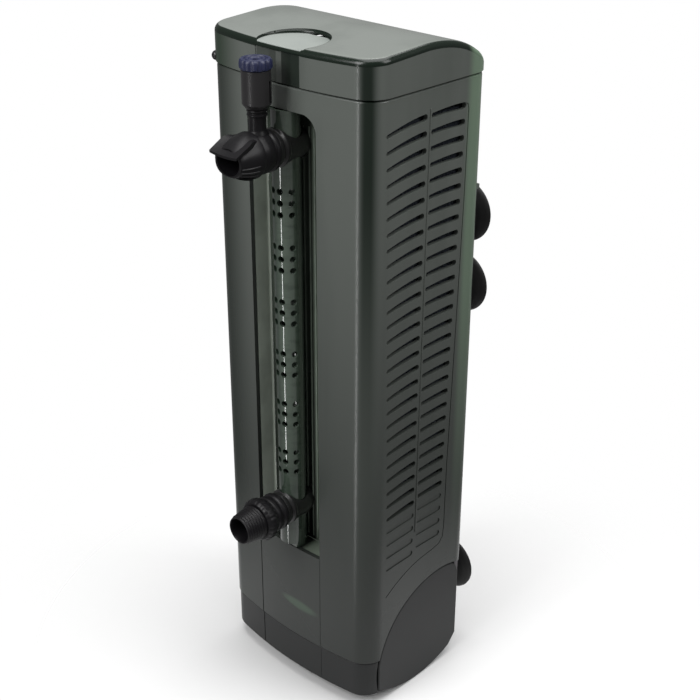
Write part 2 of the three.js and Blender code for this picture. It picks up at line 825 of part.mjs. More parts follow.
// ---- bracket and suction cups ----
function mountingBracket() {
  const low = bracketFront;
  const high = bracketFront + bracketPlate;
  const outline = [
    [-bracketHalf + 5, bracketLow],
    [bracketHalf - 5, bracketLow],
    [bracketHalf, bracketLow + 5],
    [bracketHalf, bracketHigh],
    [-bracketHalf, bracketHigh],
    [-bracketHalf, bracketLow + 5],
  ];
  const plate = prism("y", outline, low, high);
  const holes = [];
  for (const z of cupHeights) {
    for (const x of [-cupX, cupX]) {
      holes.push(rod("y", cupNeck + gap, [x, z], low - 1, high + 1, 12));
      holes.push(rod("y", 5, [x, z], low - 1, low + 1.6, 12));
    }
  }
  const slots = [70, 110, 150].map((z) => block([-14, low - 1, z], [14, high + 1, z + 22]));
  return cut(plate, ...holes, ...slots);
}

function suctionCup(x, z) {
  const head = bracketFront + gap;
  const plateFace = bracketFront + bracketPlate + gap;
  const profile = [
    [0, head],
    [4.6, head],
    [4.6, head + 1],
    [cupNeck, head + 1.1],
    [cupNeck, plateFace],
    [7.5, plateFace],
    [7, plateFace + 4.5],
    [cupRadius - 2, glassY - 2.4],
    [cupRadius, glassY - 0.7],
    [cupRadius, glassY],
    [cupRadius - 2.4, glassY],
    [4, glassY - 3.2],
    [0, glassY - 3.2],
  ];
  return turned("y", profile, [x, z]);
}

// ---- assembly ----
add("casing_shell", casingShell(), smoke);
add("front_channel", frontChannel(), clearGreen);
add("spray_tube", sprayTube(), clearGreen);
add("upper_tee", cut(outletTee(outletTop), feedBore), nearBlack);
add("lower_tee", outletTee(outletLow), nearBlack);
add("base_skirt", baseSkirt(), darkGrey);
add("riser_duct", riserDuct(), darkGrey);
add("flow_selector", flowSelector(), navy);
add("lid", lid(), smoke);
add("lid_tab", lidTab(), smoke);
add("lid_hinge_pin", rod("x", hingePin, [hingeY, hingeZ], -lugOuter, lugOuter, 12), steel);
add("nozzle_collar", nozzleCollar(), plumGrey);
add("air_valve_body", airBody(), plumGrey);
add("air_valve_knob", airKnob(), navy);
add("nozzle", nozzle(), plumGrey);
add("lower_collar", lowerCollar(), plumGrey);
add("threaded_outlet", threadedOutlet(), plumGrey);
add("media_tray", mediaTray(), darkGrey);
add("foam_pad_right", sidePiece(foamOuter, foamThick, 1), foam);
add("foam_pad_left", sidePiece(foamOuter, foamThick, -1), foam);
add("carbon_cartridge_right", cartridge(1), carbon);
add("carbon_cartridge_left", cartridge(-1), carbon);
add("media_basket", mediaBasket(), darkGrey);
add("bio_media", bioMedia(), ceramic);
add("motor_housing", motorHousing(), darkGrey);
add("motor_cover", motorCover(), darkGrey);
add("cable_gland", cableGland(), rubber);
add("rotor_well", rotorWell(), white);
add("stator_core", statorCore(), steel);
add("coil_right", coil(1), copper);
add("coil_left", coil(-1), copper);
add("lower_bushing", bushing(bushLow, bushLow + 3.4), rubber);
add("upper_bushing", bushing(pumpTop - 1.3, pumpTop + 1.2), rubber);
add("impeller_shaft", rod("z", shaftRadius, [0, pumpY], bushLow + gap, pumpTop + 1.8, 12), ceramic);
add("rotor_magnet", rotorMagnet(), nearBlack);
add("impeller", impeller(), white);
add("pump_cover", pumpCover(), darkGrey);
add("mounting_bracket", mountingBracket(), bracketGrey);
cupHeights.forEach((z, row) => {
  add(`suction_cup_${row + 1}_right`, suctionCup(cupX, z), rubber);
  add(`suction_cup_${row + 1}_left`, suctionCup(-cupX, z), rubber);
});

filter.position.y = -glassY;

export default filter;
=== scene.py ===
import math
import random

import bmesh
import bpy
from mathutils import Matrix, Vector


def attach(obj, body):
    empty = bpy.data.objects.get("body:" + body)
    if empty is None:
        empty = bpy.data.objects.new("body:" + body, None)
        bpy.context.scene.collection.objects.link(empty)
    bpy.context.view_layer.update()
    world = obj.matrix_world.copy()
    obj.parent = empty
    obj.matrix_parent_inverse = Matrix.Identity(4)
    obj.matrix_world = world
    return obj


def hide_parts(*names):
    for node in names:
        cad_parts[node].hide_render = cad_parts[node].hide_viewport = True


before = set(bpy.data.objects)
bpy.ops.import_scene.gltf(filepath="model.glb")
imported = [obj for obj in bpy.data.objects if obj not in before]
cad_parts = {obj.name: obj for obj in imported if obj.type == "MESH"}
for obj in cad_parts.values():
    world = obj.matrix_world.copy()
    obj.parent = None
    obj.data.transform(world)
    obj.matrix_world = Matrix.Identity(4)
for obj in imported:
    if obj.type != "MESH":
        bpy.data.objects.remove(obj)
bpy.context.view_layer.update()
glassPlane = 85.7  # mm from the casing's front corners back to the aquarium glass
random.seed(7)


# shapes are in mm, measured from the casing's front corners and the foot of its skirt
def place(co):
    return Vector((co[0] / 1000, (co[1] - glassPlane) / 1000, co[2] / 1000))


def turnTo(axis, u, v, w):
    return {"x": (w, u, v), "y": (u, w, v), "z": (u, v, w)}[axis]


def makePiece(name, shape, sharp=32):
    for vert in shape.verts:
        vert.co = place(vert.co)
    bmesh.ops.recalc_face_normals(shape, faces=shape.faces)
    mesh = bpy.data.meshes.new(name)
    shape.to_mesh(mesh)
    shape.free()
    piece = bpy.data.objects.new(name, mesh)
    bpy.context.scene.collection.objects.link(piece)
    smoothPiece(piece, sharp)
    return piece


def smoothPiece(piece, sharp, weighted=False):
    piece.data.shade_smooth()
    piece.data.set_sharp_from_angle(angle=math.radians(sharp))
    if weighted:
        even = piece.modifiers.new("even", "WEIGHTED_NORMAL")
        even.keep_sharp = True
        even.weight = 80


def extruded(outline, low, high, axis="z", rims=(0, 0), steps=3):
    # rims are the roundings at the low and the high end
    shape = bmesh.new()
    ends = []
    for w in (low, high):
        ends.append([shape.verts.new(turnTo(axis, u, v, w)) for u, v in outline])
    caps = [shape.faces.new(ends[0]), shape.faces.new(ends[1])]
    count = len(outline)
    for i in range(count):
        j = (i + 1) % count
        shape.faces.new((ends[0][i], ends[0][j], ends[1][j], ends[1][i]))
    bmesh.ops.recalc_face_normals(shape, faces=shape.faces)
    for cap, rim in zip(caps, rims):
        if rim:
            bmesh.ops.bevel(shape, geom=list(cap.edges), offset=rim, segments=steps,
                            profile=0.5, affect="EDGES", clamp_overlap=False)
    return shape


def circle(radius, centre, count=32, start=0.0):
    turn = [start + 2 * math.pi * i / count for i in range(count)]
    return [(centre[0] + radius * math.cos(a), centre[1] + radius * math.sin(a)) for a in turn]


def rod(radius, centre, low, high, axis="z", count=32, rims=(0, 0)):
    return extruded(circle(radius, centre, count), low, high, axis, rims)


def block(low, high, rim=0.0, steps=2):
    shape = bmesh.new()
    bmesh.ops.create_cube(shape, size=1)
    for vert in shape.verts:
        vert.co = [low[k] + (high[k] - low[k]) * (vert.co[k] + 0.5) for k in range(3)]
    if rim:
        bmesh.ops.bevel(shape, geom=list(shape.edges), offset=rim, segments=steps,
                        profile=0.5, affect="EDGES", clamp_overlap=True)
    return shape


def sectioned(rings, closed=False):
    # skins a list of rings of points; a ring of one point is a tip
    shape = bmesh.new()
    loops = [[shape.verts.new(point) for point in ring] for ring in rings]
    pairs = list(zip(loops, loops[1:]))
    if closed:
        pairs.append((loops[-1], loops[0]))
    for a, b in pairs:
        count = max(len(a), len(b))
        for i in range(count):
            j = (i + 1) % count
            if len(a) == 1:
                shape.faces.new((a[0], b[j], b[i]))
            elif len(b) == 1:
                shape.faces.new((a[i], a[j], b[0]))
            else:
                shape.faces.new((a[i], a[j], b[j], b[i]))
    if not closed:
        for loop in (loops[0], loops[-1]):
            if len(loop) > 2:
                shape.faces.new(loop)
    return shape


def turned(profile, centre, axis="z", count=48, shapeRadius=None):
    # profile is [radius, place along the axis]; it ends on the axis or closes on itself
    rings = []
    for index, (radius, along) in enumerate(profile):
        if radius == 0:
            rings.append([turnTo(axis, centre[0], centre[1], along)])
            continue
        ring = []
        for i in range(count):
            angle = 2 * math.pi * i / count
            r = shapeRadius(radius, angle, index) if shapeRadius else radius
            u, v = centre[0] + r * math.cos(angle), centre[1] + r * math.sin(angle)
            ring.append(turnTo(axis, u, v, along))
        rings.append(ring)
    return sectioned(rings, closed=profile[0][0] > 0)


def softened(profile, radius=0.3, steps=2):
    # rounds the corners of a turned profile
    closed = profile[0][0] > 0
    out = []
    count = len(profile)
    for i, point in enumerate(profile):
        here = Vector(point)
        if not closed and i in (0, count - 1):
            out.append(tuple(here))
            continue
        back, ahead = Vector(profile[i - 1]), Vector(profile[(i + 1) % count])
        a, b = back - here, ahead - here
        reach = min(radius, a.length * 0.45, b.length * 0.45)
        start, end = here + a.normalized() * reach, here + b.normalized() * reach
        for k in range(steps + 1):
            t = k / steps
            at = start.lerp(here, t).lerp(here.lerp(end, t), t)
            out.append((max(at.x, 0.001), at.y))
    return out


def gathered(*shapes):
    whole = bmesh.new()
    for shape in shapes:
        held = bpy.data.meshes.new("held")
        shape.to_mesh(held)
        shape.free()
        whole.from_mesh(held)
        bpy.data.meshes.remove(held)
    return whole


def carved(piece, *shapes, keep="DIFFERENCE", sharp=32):
    # takes shapes away from a piece, one after another
    for shape in shapes:
        tool = makePiece("tool", shape)
        step = piece.modifiers.new("carve", "BOOLEAN")
        step.operation = keep
        step.solver = "EXACT"
        step.object = tool
        applyModifiers(piece)
        bpy.data.objects.remove(tool)
    smoothPiece(piece, sharp, weighted=True)
    return piece


def applyModifiers(piece):
    bpy.context.view_layer.update()
    evaluated = piece.evaluated_get(bpy.context.evaluated_depsgraph_get())
    mesh = bpy.data.meshes.new_from_object(evaluated)
    piece.modifiers.clear()
    old = piece.data
    piece.data = mesh
    bpy.data.meshes.remove(old)


def addTo(piece, *shapes, sharp=32):
    # further closed shapes of the same piece
    added = makePiece("added", gathered(*shapes))
    whole = bmesh.new()
    whole.from_mesh(piece.data)
    whole.from_mesh(added.data)
    whole.to_mesh(piece.data)
    whole.free()
    bpy.data.objects.remove(added)
    smoothPiece(piece, sharp)
    return piece


def settle(piece, body, material, nodes):
    piece.data.materials.clear()
    piece.data.materials.append(material)
    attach(piece, body)
    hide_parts(*nodes)
    return piece


def linear(r, g, b):
    def one(c):
        c /= 255
        return c / 12.92 if c <= 0.04045 else ((c + 0.055) / 1.055) ** 2.4
    return (one(r), one(g), one(b), 1.0)


class Reading:  # a number that varies over a surface
    def __init__(self, finish, socket):
        self.finish, self.socket = finish, socket

    def math(self, operation, *values):
        inputs = {i: value for i, value in enumerate(values)}
        return self.finish.node("ShaderNodeMath", {"operation": operation}, inputs)

    def __add__(self, other):
        return self.math("ADD", self, other)

    def __radd__(self, other):
        return self.math("ADD", other, self)

    def __sub__(self, other):
        return self.math("SUBTRACT", self, other)

    def __rsub__(self, other):
        return self.math("SUBTRACT", other, self)

    def __mul__(self, other):
        return self.math("MULTIPLY", self, other)

    def __rmul__(self, other):
        return self.math("MULTIPLY", other, self)

    def __truediv__(self, other):
        return self.math("DIVIDE", self, other)

    def __rtruediv__(self, other):
        return self.math("DIVIDE", other, self)

    def size(self):
        return self.math("ABSOLUTE", self)

    def root(self):
        return self.math("SQRT", self)

    def over(self, start):
        # how far the value is past start, and 0 before it
        return self.math("MAXIMUM", self - start, 0)

    def rise(self, low, high):
        # 0 below low and 1 above high, with soft ends
        return self.finish.node(
            "ShaderNodeMapRange", {"interpolation_type": "SMOOTHSTEP"},
            {"Value": self, "From Min": low, "From Max": high},
        )


class Finish:
    def __init__(self, name, base, roughness, **constants):
        self.material = bpy.data.materials.new(name)
        self.material.use_nodes = True
        self.tree = self.material.node_tree
        self.shader = self.tree.nodes["Principled BSDF"]
        self.shader.inputs["Base Color"].default_value = base
        self.shader.inputs["Roughness"].default_value = roughness
        for key, value in constants.items():
            self.shader.inputs[key.replace("_", " ")].default_value = value

    def node(self, kind, settings, inputs, output=0):
        made = self.tree.nodes.new(kind)
        for key, value in settings.items():
            setattr(made, key, value)
        for key, value in inputs.items():
            self.feed(made.inputs[key], value)
        return Reading(self, made.outputs[output])

    def feed(self, socket, value):
        if isinstance(value, Reading):
            self.tree.links.new(value.socket, socket)
        else:
            socket.default_value = value

    def set(self, name, value):
        self.feed(self.shader.inputs[name], value)

    def where(self):
        spot = self.spot()
        parts = self.tree.nodes.new("ShaderNodeSeparateXYZ")
        self.tree.links.new(spot.socket, parts.inputs[0])
        x, y, z = (Reading(self, out) for out in parts.outputs)
        return x * 1000, y * 1000 + glassPlane, z * 1000

    def spot(self):
        return self.node("ShaderNodeTexCoord", {}, {}, output="Object")

    def grain(self, scale, detail=3.0):
        return self.node(
            "ShaderNodeTexNoise", {},
            {"Vector": self.spot(), "Scale": scale, "Detail": detail, "Roughness": 0.55},
        )

    def streaks(self, scale, stretch, detail=3.0):
        # grain drawn out along z, or squeezed where the stretch is above 1
        spot = self.node("ShaderNodeMapping", {}, {"Vector": self.spot(), "Scale": (1, 1, stretch)})
        return self.node("ShaderNodeTexNoise", {}, {"Vector": spot, "Scale": scale, "Detail": detail})

    def cells(self, scale):
        return self.node("ShaderNodeTexVoronoi", {}, {"Vector": self.spot(), "Scale": scale})

    def blend(self, share, first, second):
        made = self.tree.nodes.new("ShaderNodeMix")
        made.data_type = "RGBA"
        self.feed(made.inputs[0], share)
        self.feed(made.inputs[6], first)
        self.feed(made.inputs[7], second)
        return Reading(self, made.outputs[2])

    def relief(self, height, strength, distance):
        self.set("Normal", self.node(
            "ShaderNodeBump", {},
            {"Strength": strength, "Distance": distance, "Height": height},
        ))


def mouldedPlastic(name, tone, roughness, patch=0.12, grainScale=2600, bump=0.08, **constants):
    # a plain injection moulding: slightly uneven colour and gloss over a fine grain
    finish = Finish(name, tone, roughness, **constants)
    cloud = finish.grain(26, 4)
    dark = tuple(c * (1 - patch) for c in tone[:3]) + (1,)
    pale = tuple(min(c * (1 + patch), 1) for c in tone[:3]) + (1,)
    finish.set("Base Color", finish.blend(cloud.rise(0.3, 0.7), dark, pale))
    fine = finish.grain(grainScale, 2)
    finish.set("Roughness", roughness + (fine - 0.5) * 0.1 + (cloud - 0.5) * 0.12)
    finish.relief(fine, bump, 0.0001)
    return finish.material


# the lid's top rises a little from the front, then rolls down to the hinge
crown = {"front": 329.2, "rise": 0.055, "bendFrom": 30, "bend": 0.0066, "fallFrom": 45, "fall": 0.000156}


def crownAt(y):
    bend, fall = max(y - crown["bendFrom"], 0), max(y - crown["fallFrom"], 0)
    return crown["front"] + crown["rise"] * y - crown["bend"] * bend ** 2 - crown["fall"] * fall ** 3


smokeLook = {
    # upper and lower: painted shade, the plastic is painted darker towards the bottom
    "upper": linear(89, 93, 89),
    "lower": linear(26, 29, 27),
    # edge: painted light, paler green where light shows through the rear edges
    "edge": linear(112, 134, 112),
    "deep": linear(16, 26, 20),
    "shade": linear(18, 26, 20),
    # rim: the dark colour of painted shade, painted shadow and painted reflection on the casing and lid
    "rim": linear(14, 24, 17),
    # top: painted light, the lid's top is painted paler than its sides
    "top": linear(110, 114, 110),
    # glow: painted light, a soft pale patch low on the casing's front
    "glow": linear(66, 84, 68),
    # painted shade for the lid's left front, in a dark green
    "greenShade": linear(10, 34, 14),
    # where the painted dark reflection down the front-right corner lies
    "reflectionBandX": 46.5,
    "roughness": 0.24,
}


def smokePlastic(name, isLid=False):
    # smoke-green plastic with painted light and shade: darker towards the bottom and on the left front, a
    # painted dark reflection down the front-right corner, and paler green painted on the rear edges as
    # light shining through
    look = smokeLook
    finish = Finish(name, look["upper"], look["roughness"], Specular_IOR_Level=0.32)
    x, y, z = finish.where()
    # painted shade: darker towards the bottom
    tone = finish.blend(z.rise(-30, 330), look["lower"], look["upper"])
    front = y.rise(10, 2)
    # painted shade: the left front and left side are painted darker, dark green on the lid
    left = (0 - x).rise(20, 46) * y.rise(30, 6)
    tone = finish.blend(left * 0.9, tone, look["greenShade"] if isLid else look["shade"])
    # painted reflection: a dark band down the front-right corner
    pastReflectionBand = x - look["reflectionBandX"]
    reflectionBand = pastReflectionBand.rise(-5, -0.8) * pastReflectionBand.rise(4, 1) * y.rise(9, 4)
    tone = finish.blend(reflectionBand * z.rise(80, 290) * 0.95, tone, look["rim"])
    if isLid:
        bend, fall = y.over(crown["bendFrom"]), y.over(crown["fallFrom"])
        edge = z - y * crown["rise"] + bend * bend * crown["bend"] + fall * fall * fall * crown["fall"]
        ring = (x * x) + (y - 3.5) * (y - 3.5)
        floor = ring.rise(252, 246) * z.rise(327.6, 327.9)
        # painted shade on the lid's bevel band, and painted light on its top
        tone = finish.blend(edge.rise(325.9, 326.3), tone, look["rim"])
        tone = finish.blend(edge.rise(328.8, 329.0), tone, look["top"])
        # painted shadow: a dark ring round the scoop's edge; painted reflection: the scoop's floor is
        # painted pale grey
        tone = finish.blend(ring.rise(276, 270) * z.rise(327.6, 327.9), tone, look["rim"])
        tone = finish.blend(floor, tone, linear(136, 141, 137))
        # painted shade: dark columns in the grip recess on the lid's front wall
        grip = x.size().rise(14.0, 13.6) * front * z.rise(326.6, 326.1)
        dark = (x - 7.2).size().rise(5.6, 5.2) + (x + 7.4).size().rise(6.2, 5.6) * 0.6
        tone = finish.blend(grip * dark * 0.85, tone, look["rim"])
    else:
        # painted glow: a soft paler green patch low on the casing's front
        across, up = x - 7, z - 41.5 + x * 0.05
        patch = (across * across / 130 + up * up / 7).rise(1.6, 0.1)
        tone = finish.blend(patch * front * 0.6, tone, look["glow"])
    # painted light: paler green down the rear corners and along the back edge, as if lit through the
    # plastic
    rear = x.size().rise(49.2, 50.4) * y.rise(58.5, 63.5)
    tone = finish.blend(rear * z.rise(40, 290) * 0.7, tone, look["edge"])
    behind = y.rise(72.5, 74.2) * x.size().rise(40, 50)
    tone = finish.blend(behind * z.rise(40, 290) * 0.6, tone, look["edge"])
    streak = finish.streaks(34, 0.12, 4)
    tone = finish.blend(streak.rise(0.45, 0.75) * 0.18, tone, look["deep"])
    finish.set("Base Color", tone)
    fine = finish.grain(1500, 3)
    finish.set("Roughness", look["roughness"] + (fine - 0.5) * 0.08 + (streak - 0.5) * 0.1)
    finish.relief(fine, 0.05, 0.0001)
    return finish.material


# dark: painted shade on the tube's sides and lower end, and its random streaks
tubeLook = {"pale": linear(78, 89, 79), "dark": linear(30, 42, 33), "roughness": 0.09}


def greenTubing(name):
    # clear green tube with painted shade: its sides, as seen across the camera's view, and its lower end
    # are painted darker
    look = tubeLook
    finish = Finish(name, look["pale"], look["roughness"], Specular_IOR_Level=0.75, Coat_Weight=0.5)
    x, y, z = finish.where()
    # painted shade: the tube's sides, as seen across the camera's view, are painted darker than its middle
    around = (x * 0.724 + (y + 1.7) * 0.69) / 6.9
    cloud = finish.streaks(120, 2.5)
    tone = finish.blend(around.size().rise(0.35, 0.95), look["pale"], look["dark"])
    tone = finish.blend(cloud.rise(0.45, 0.7) * 0.35, tone, look["dark"])
    # painted shade: darker towards the lower end
    tone = finish.blend(z.rise(190, 70) * 0.6, tone, look["dark"])
    finish.set("Base Color", tone)
    finish.set("Roughness", look["roughness"] + (cloud - 0.5) * 0.06)
    finish.relief(finish.grain(60, 1), 0.04, 0.0002)
    return finish.material


# pale, right and the light line colour are painted light; dark is painted shade and random darkening
troughLook = {"tone": linear(66, 74, 66), "pale": linear(204, 214, 200), "dark": linear(18, 22, 19),
              "right": linear(112, 122, 110)}


def greenTrough(name):
    look = troughLook
    finish = Finish(name, look["tone"], 0.2, Specular_IOR_Level=0.5)
    x, y, z = finish.where()
    # painted shade: the channel is painted darker towards the bottom
    tone = finish.blend(z.rise(60, 310), look["dark"], look["tone"])
    # painted light: the channel's left wall is painted pale
    tone = finish.blend((0 - x).rise(20.4, 21.2), tone, look["pale"])
    # painted shadow: a dark band on the back wall behind the tube's right side
    tone = finish.blend(y.rise(6.0, 6.3) * x.rise(3.4, 4.2) * x.rise(9.5, 8.5) * 0.3, tone, look["dark"])
    # painted light: the back of the channel right of the tube is painted paler
    tone = finish.blend(x.rise(6, 11), tone, look["right"])
    # painted highlight: the front faces of the ribs right of the tube are painted paler
    tone = finish.blend(y.rise(6.15, 5.95) * y.rise(5.6, 5.8) * x.rise(0, 1), tone, linear(104, 114, 104))
    cloud = finish.grain(40, 3)
    tone = finish.blend(cloud.rise(0.4, 0.8) * 0.3, tone, look["dark"])
    finish.set("Base Color", tone)
    finish.set("Roughness", 0.18 + cloud * 0.1)
    finish.relief(cloud, 0.05, 0.0002)
    return finish.material


def rubberSkin(name):
    finish = Finish(name, linear(26, 26, 26), 0.5, Specular_IOR_Level=0.35)
    cloud = finish.grain(90, 4)
    finish.set("Base Color", finish.blend(cloud.rise(0.3, 0.75), linear(12, 12, 12), linear(22, 22, 22)))
    finish.set("Roughness", 0.42 + cloud * 0.2)
    finish.relief(finish.grain(1200, 2), 0.12, 0.0001)
    return finish.material


def openFoam(name, tone):
    finish = Finish(name, tone, 0.96, Specular_IOR_Level=0.15)
    pores = finish.cells(700)
    holes = (1 - pores.rise(0.1, 0.62))
    pale = tuple(min(c * 1.9, 1) for c in tone[:3]) + (1,)
    finish.set("Base Color", finish.blend(holes, tone, pale))
    finish.relief(holes + finish.grain(1900, 2) * 0.4, 0.9, 0.0012)
    return finish.material


def granules(name, dark, pale, scale):
    finish = Finish(name, dark, 0.7)
    grains = finish.cells(scale)
    finish.set("Base Color", finish.blend(grains.rise(0.05, 0.6), pale, dark))
    finish.set("Roughness", 0.45 + grains * 0.5)
    finish.relief(1 - grains, 0.9, 0.0016)
    return finish.material


def brushedMetal(name, tone, roughness, stretch=30):
    finish = Finish(name, tone, roughness, Metallic=1.0)
    lines = finish.streaks(260, stretch)
    dark = tuple(c * 0.75 for c in tone[:3]) + (1,)
    finish.set("Base Color", finish.blend(lines, dark, tone))
    finish.set("Roughness", roughness + (lines - 0.5) * 0.2)
    finish.relief(lines, 0.1, 0.0001)
    return finish.material


def woundWire(name):
    finish = Finish(name, linear(190, 108, 62), 0.3, Metallic=0.9, Coat_Weight=0.4)
    rows = finish.node(
        "ShaderNodeTexWave", {"wave_type": "BANDS", "bands_direction": "Z"},
        {"Vector": finish.spot(), "Scale": 420, "Distortion": 0.4},
    )
    finish.set("Base Color", finish.blend(rows, linear(110, 52, 26), linear(204, 122, 72)))
    finish.relief(rows, 0.8, 0.0004)
    return finish.material


finishes = {
    "casing": smokePlastic("smokeCasing"),
    "lid": smokePlastic("smokeLid", isLid=True),
    "trough": greenTrough("greenTrough"),
    "tube": greenTubing("greenTube"),
    "base": mouldedPlastic("baseGrey", linear(26, 27, 27), 0.42, grainScale=1800, bump=0.12,
                           Specular_IOR_Level=0.25),
    "inner": mouldedPlastic("innerGrey", linear(52, 54, 54), 0.5),
    "plum": mouldedPlastic("plumGrey", linear(17, 16, 18), 0.38, Specular_IOR_Level=0.22),
    "valve": mouldedPlastic("valveGrey", linear(34, 33, 34), 0.36, Specular_IOR_Level=0.35),
    "neck": mouldedPlastic("neckBlack", linear(30, 30, 30), 0.3, Specular_IOR_Level=0.35),
    "navy": mouldedPlastic("knobNavy", linear(21, 26, 56), 0.46, patch=0.08),
    "bracket": mouldedPlastic("bracketGrey", linear(82, 78, 82), 0.48),
    "rubber": rubberSkin("cupRubber"),
    "foam": openFoam("filterFoam", linear(34, 38, 44)),
    "carbon": granules("carbonGrains", linear(14, 14, 15), linear(40, 40, 42), 420),
    "ceramic": granules("firedCeramic", linear(196, 178, 150), linear(228, 216, 196), 900),
    "white": mouldedPlastic("motorWhite", linear(226, 224, 216), 0.38, patch=0.04),
    "steel": brushedMetal("pinSteel", linear(176, 178, 180), 0.3),
    "sheet": brushedMetal("coreSteel", linear(120, 122, 126), 0.42, stretch=60),
    "copper": woundWire("copperWire"),
    "magnet": mouldedPlastic("magnetBlack", linear(30, 30, 32), 0.45),
}
print("finishes made:", len(finishes))

# the body's outline, seen from above
body = {"half": 50.8, "back": 74.5, "bulge": 5.8, "corner": 11.8, "backCorner": 8.0, "wall": 2.2}
arcRadius = (body["half"] ** 2 + body["bulge"] ** 2) / (2 * body["bulge"])
arcY = arcRadius - body["bulge"]
cornerX = body["half"] - body["corner"]
cornerY = arcY - math.sqrt((arcRadius - body["corner"]) ** 2 - cornerX ** 2)
tangent = math.atan2(cornerY - arcY, cornerX)


frontSteps = 40


def bodyOutline(grow=0.0, sideSteps=1):
    points = []

    def arc(x, y, radius, start, end, steps):
        for i in range(steps + 1):
            angle = start + (end - start) * i / steps
            point = (x + radius * math.cos(angle), y + radius * math.sin(angle))
            if not points or math.dist(point, points[-1]) > 0.01:
                points.append(point)

    def side(sign):
        marks = [cornerY + (backY - cornerY) * k / sideSteps for k in range(1, sideSteps)]
        points.extend((sign * (body["half"] + grow), y) for y in marks[::sign])

    backX, backY = body["half"] - body["backCorner"], body["back"] - body["backCorner"]
    arc(0, arcY, arcRadius + grow, -math.pi - tangent, tangent, frontSteps)
    arc(cornerX, cornerY, body["corner"] + grow, tangent, 0, 16)
    side(1)
    arc(backX, backY, body["backCorner"] + grow, 0, math.pi / 2, 10)
    arc(-backX, backY, body["backCorner"] + grow, math.pi / 2, math.pi, 10)
    side(-1)
    arc(-cornerX, cornerY, body["corner"] + grow, -math.pi, -math.pi - tangent, 16)
    points.pop()
    return points


def frontAt(x):
    return arcY - math.sqrt(arcRadius ** 2 - x ** 2)


casing = {
    "low": 21.3, "high": 311.7, "channelHalf": 21.4, "channelLow": 75.9, "channelHigh": 301.2,
    "channelRound": 8.0, "motorY": 52.0, "motorZ": 10.5, "motorRadius": 44.8,
    "louvreTop": 299.5, "louvrePitch": 7.36, "louvreRows": 27, "blindRows": 4,
}


def channelOutline(grow=0.0):
    half, high = casing["channelHalf"] + grow, casing["channelHigh"] + grow
    radius, low = casing["channelRound"] + grow, casing["channelLow"] - grow
    points = [(-half, low), (half, low)]
    for side in (1, -1):
        for i in range(9):
            angle = (i if side > 0 else 8 - i) * math.pi / 16
            points.append((side * (half - radius + radius * math.cos(angle)),
                           high - radius + radius * math.sin(angle)))
    return points


def gillOutline(front, back, z, rise, thin, bow):
    # a bowed slot, thinner in front than behind, with a rounded rear end
    high, end = 1.55, back - 1.4
    lower, upper = [], []
    for i in range(7):
        share = i / 6
        y = front + (end - front) * share
        middle = z + rise * share + bow * 4 * share * (1 - share)
        half = thin + (high - thin) * min(share * 1.25, 1)
        lower.append((y, middle - half))
        upper.append((y, middle + half))
    tip = []
    for i in range(1, 6):
        angle = -math.pi / 2 + math.pi * i / 6
        tip.append((end + 1.4 * math.cos(angle), z + rise + high * math.sin(angle)))
    return lower + tip + upper[::-1] + [(front - 0.6, z)]


def gillColumns(row):
    share = min(row / (casing["louvreRows"] - 1), 1.1)
    z = casing["louvreTop"] - casing["louvrePitch"] * row

    def between(top, foot):
        return top + (foot - top) * share

    return [(between(7.9, 12), between(33.2, 31.5), z - 3.3, between(3.3, 1.3), 0.95, between(0.5, 0.2)),
            (between(36.3, 34.5), between(59, 52.5), z, 0, 1.1, between(0.3, 0.1))]


def ribbon(path, width):
    # a thin closed strip along a path
    left, right = [], []
    for i, point in enumerate(path):
        here = Vector(point)
        back = Vector(path[max(i - 1, 0)])
        ahead = Vector(path[min(i + 1, len(path) - 1)])
        along = (ahead - back).normalized()
        side = Vector((-along.y, along.x)) * width / 2
        left.append(tuple(here + side))
        right.append(tuple(here - side))
    return left + right[::-1]


hinge = {"y": 78, "z": 312.15, "radius": 2.6}


def knuckle(side, inner, outer, root, low, high):
    # a barrel on the hinge's axis and the web that carries it
    near, far = sorted((side * inner, side * outer))
    barrel = rod(hinge["radius"], (hinge["y"], hinge["z"]), near, far, "x", 28, (0.3, 0.3))
    return [barrel, block((near, root, low), (far, hinge["y"], high), 0.2)]


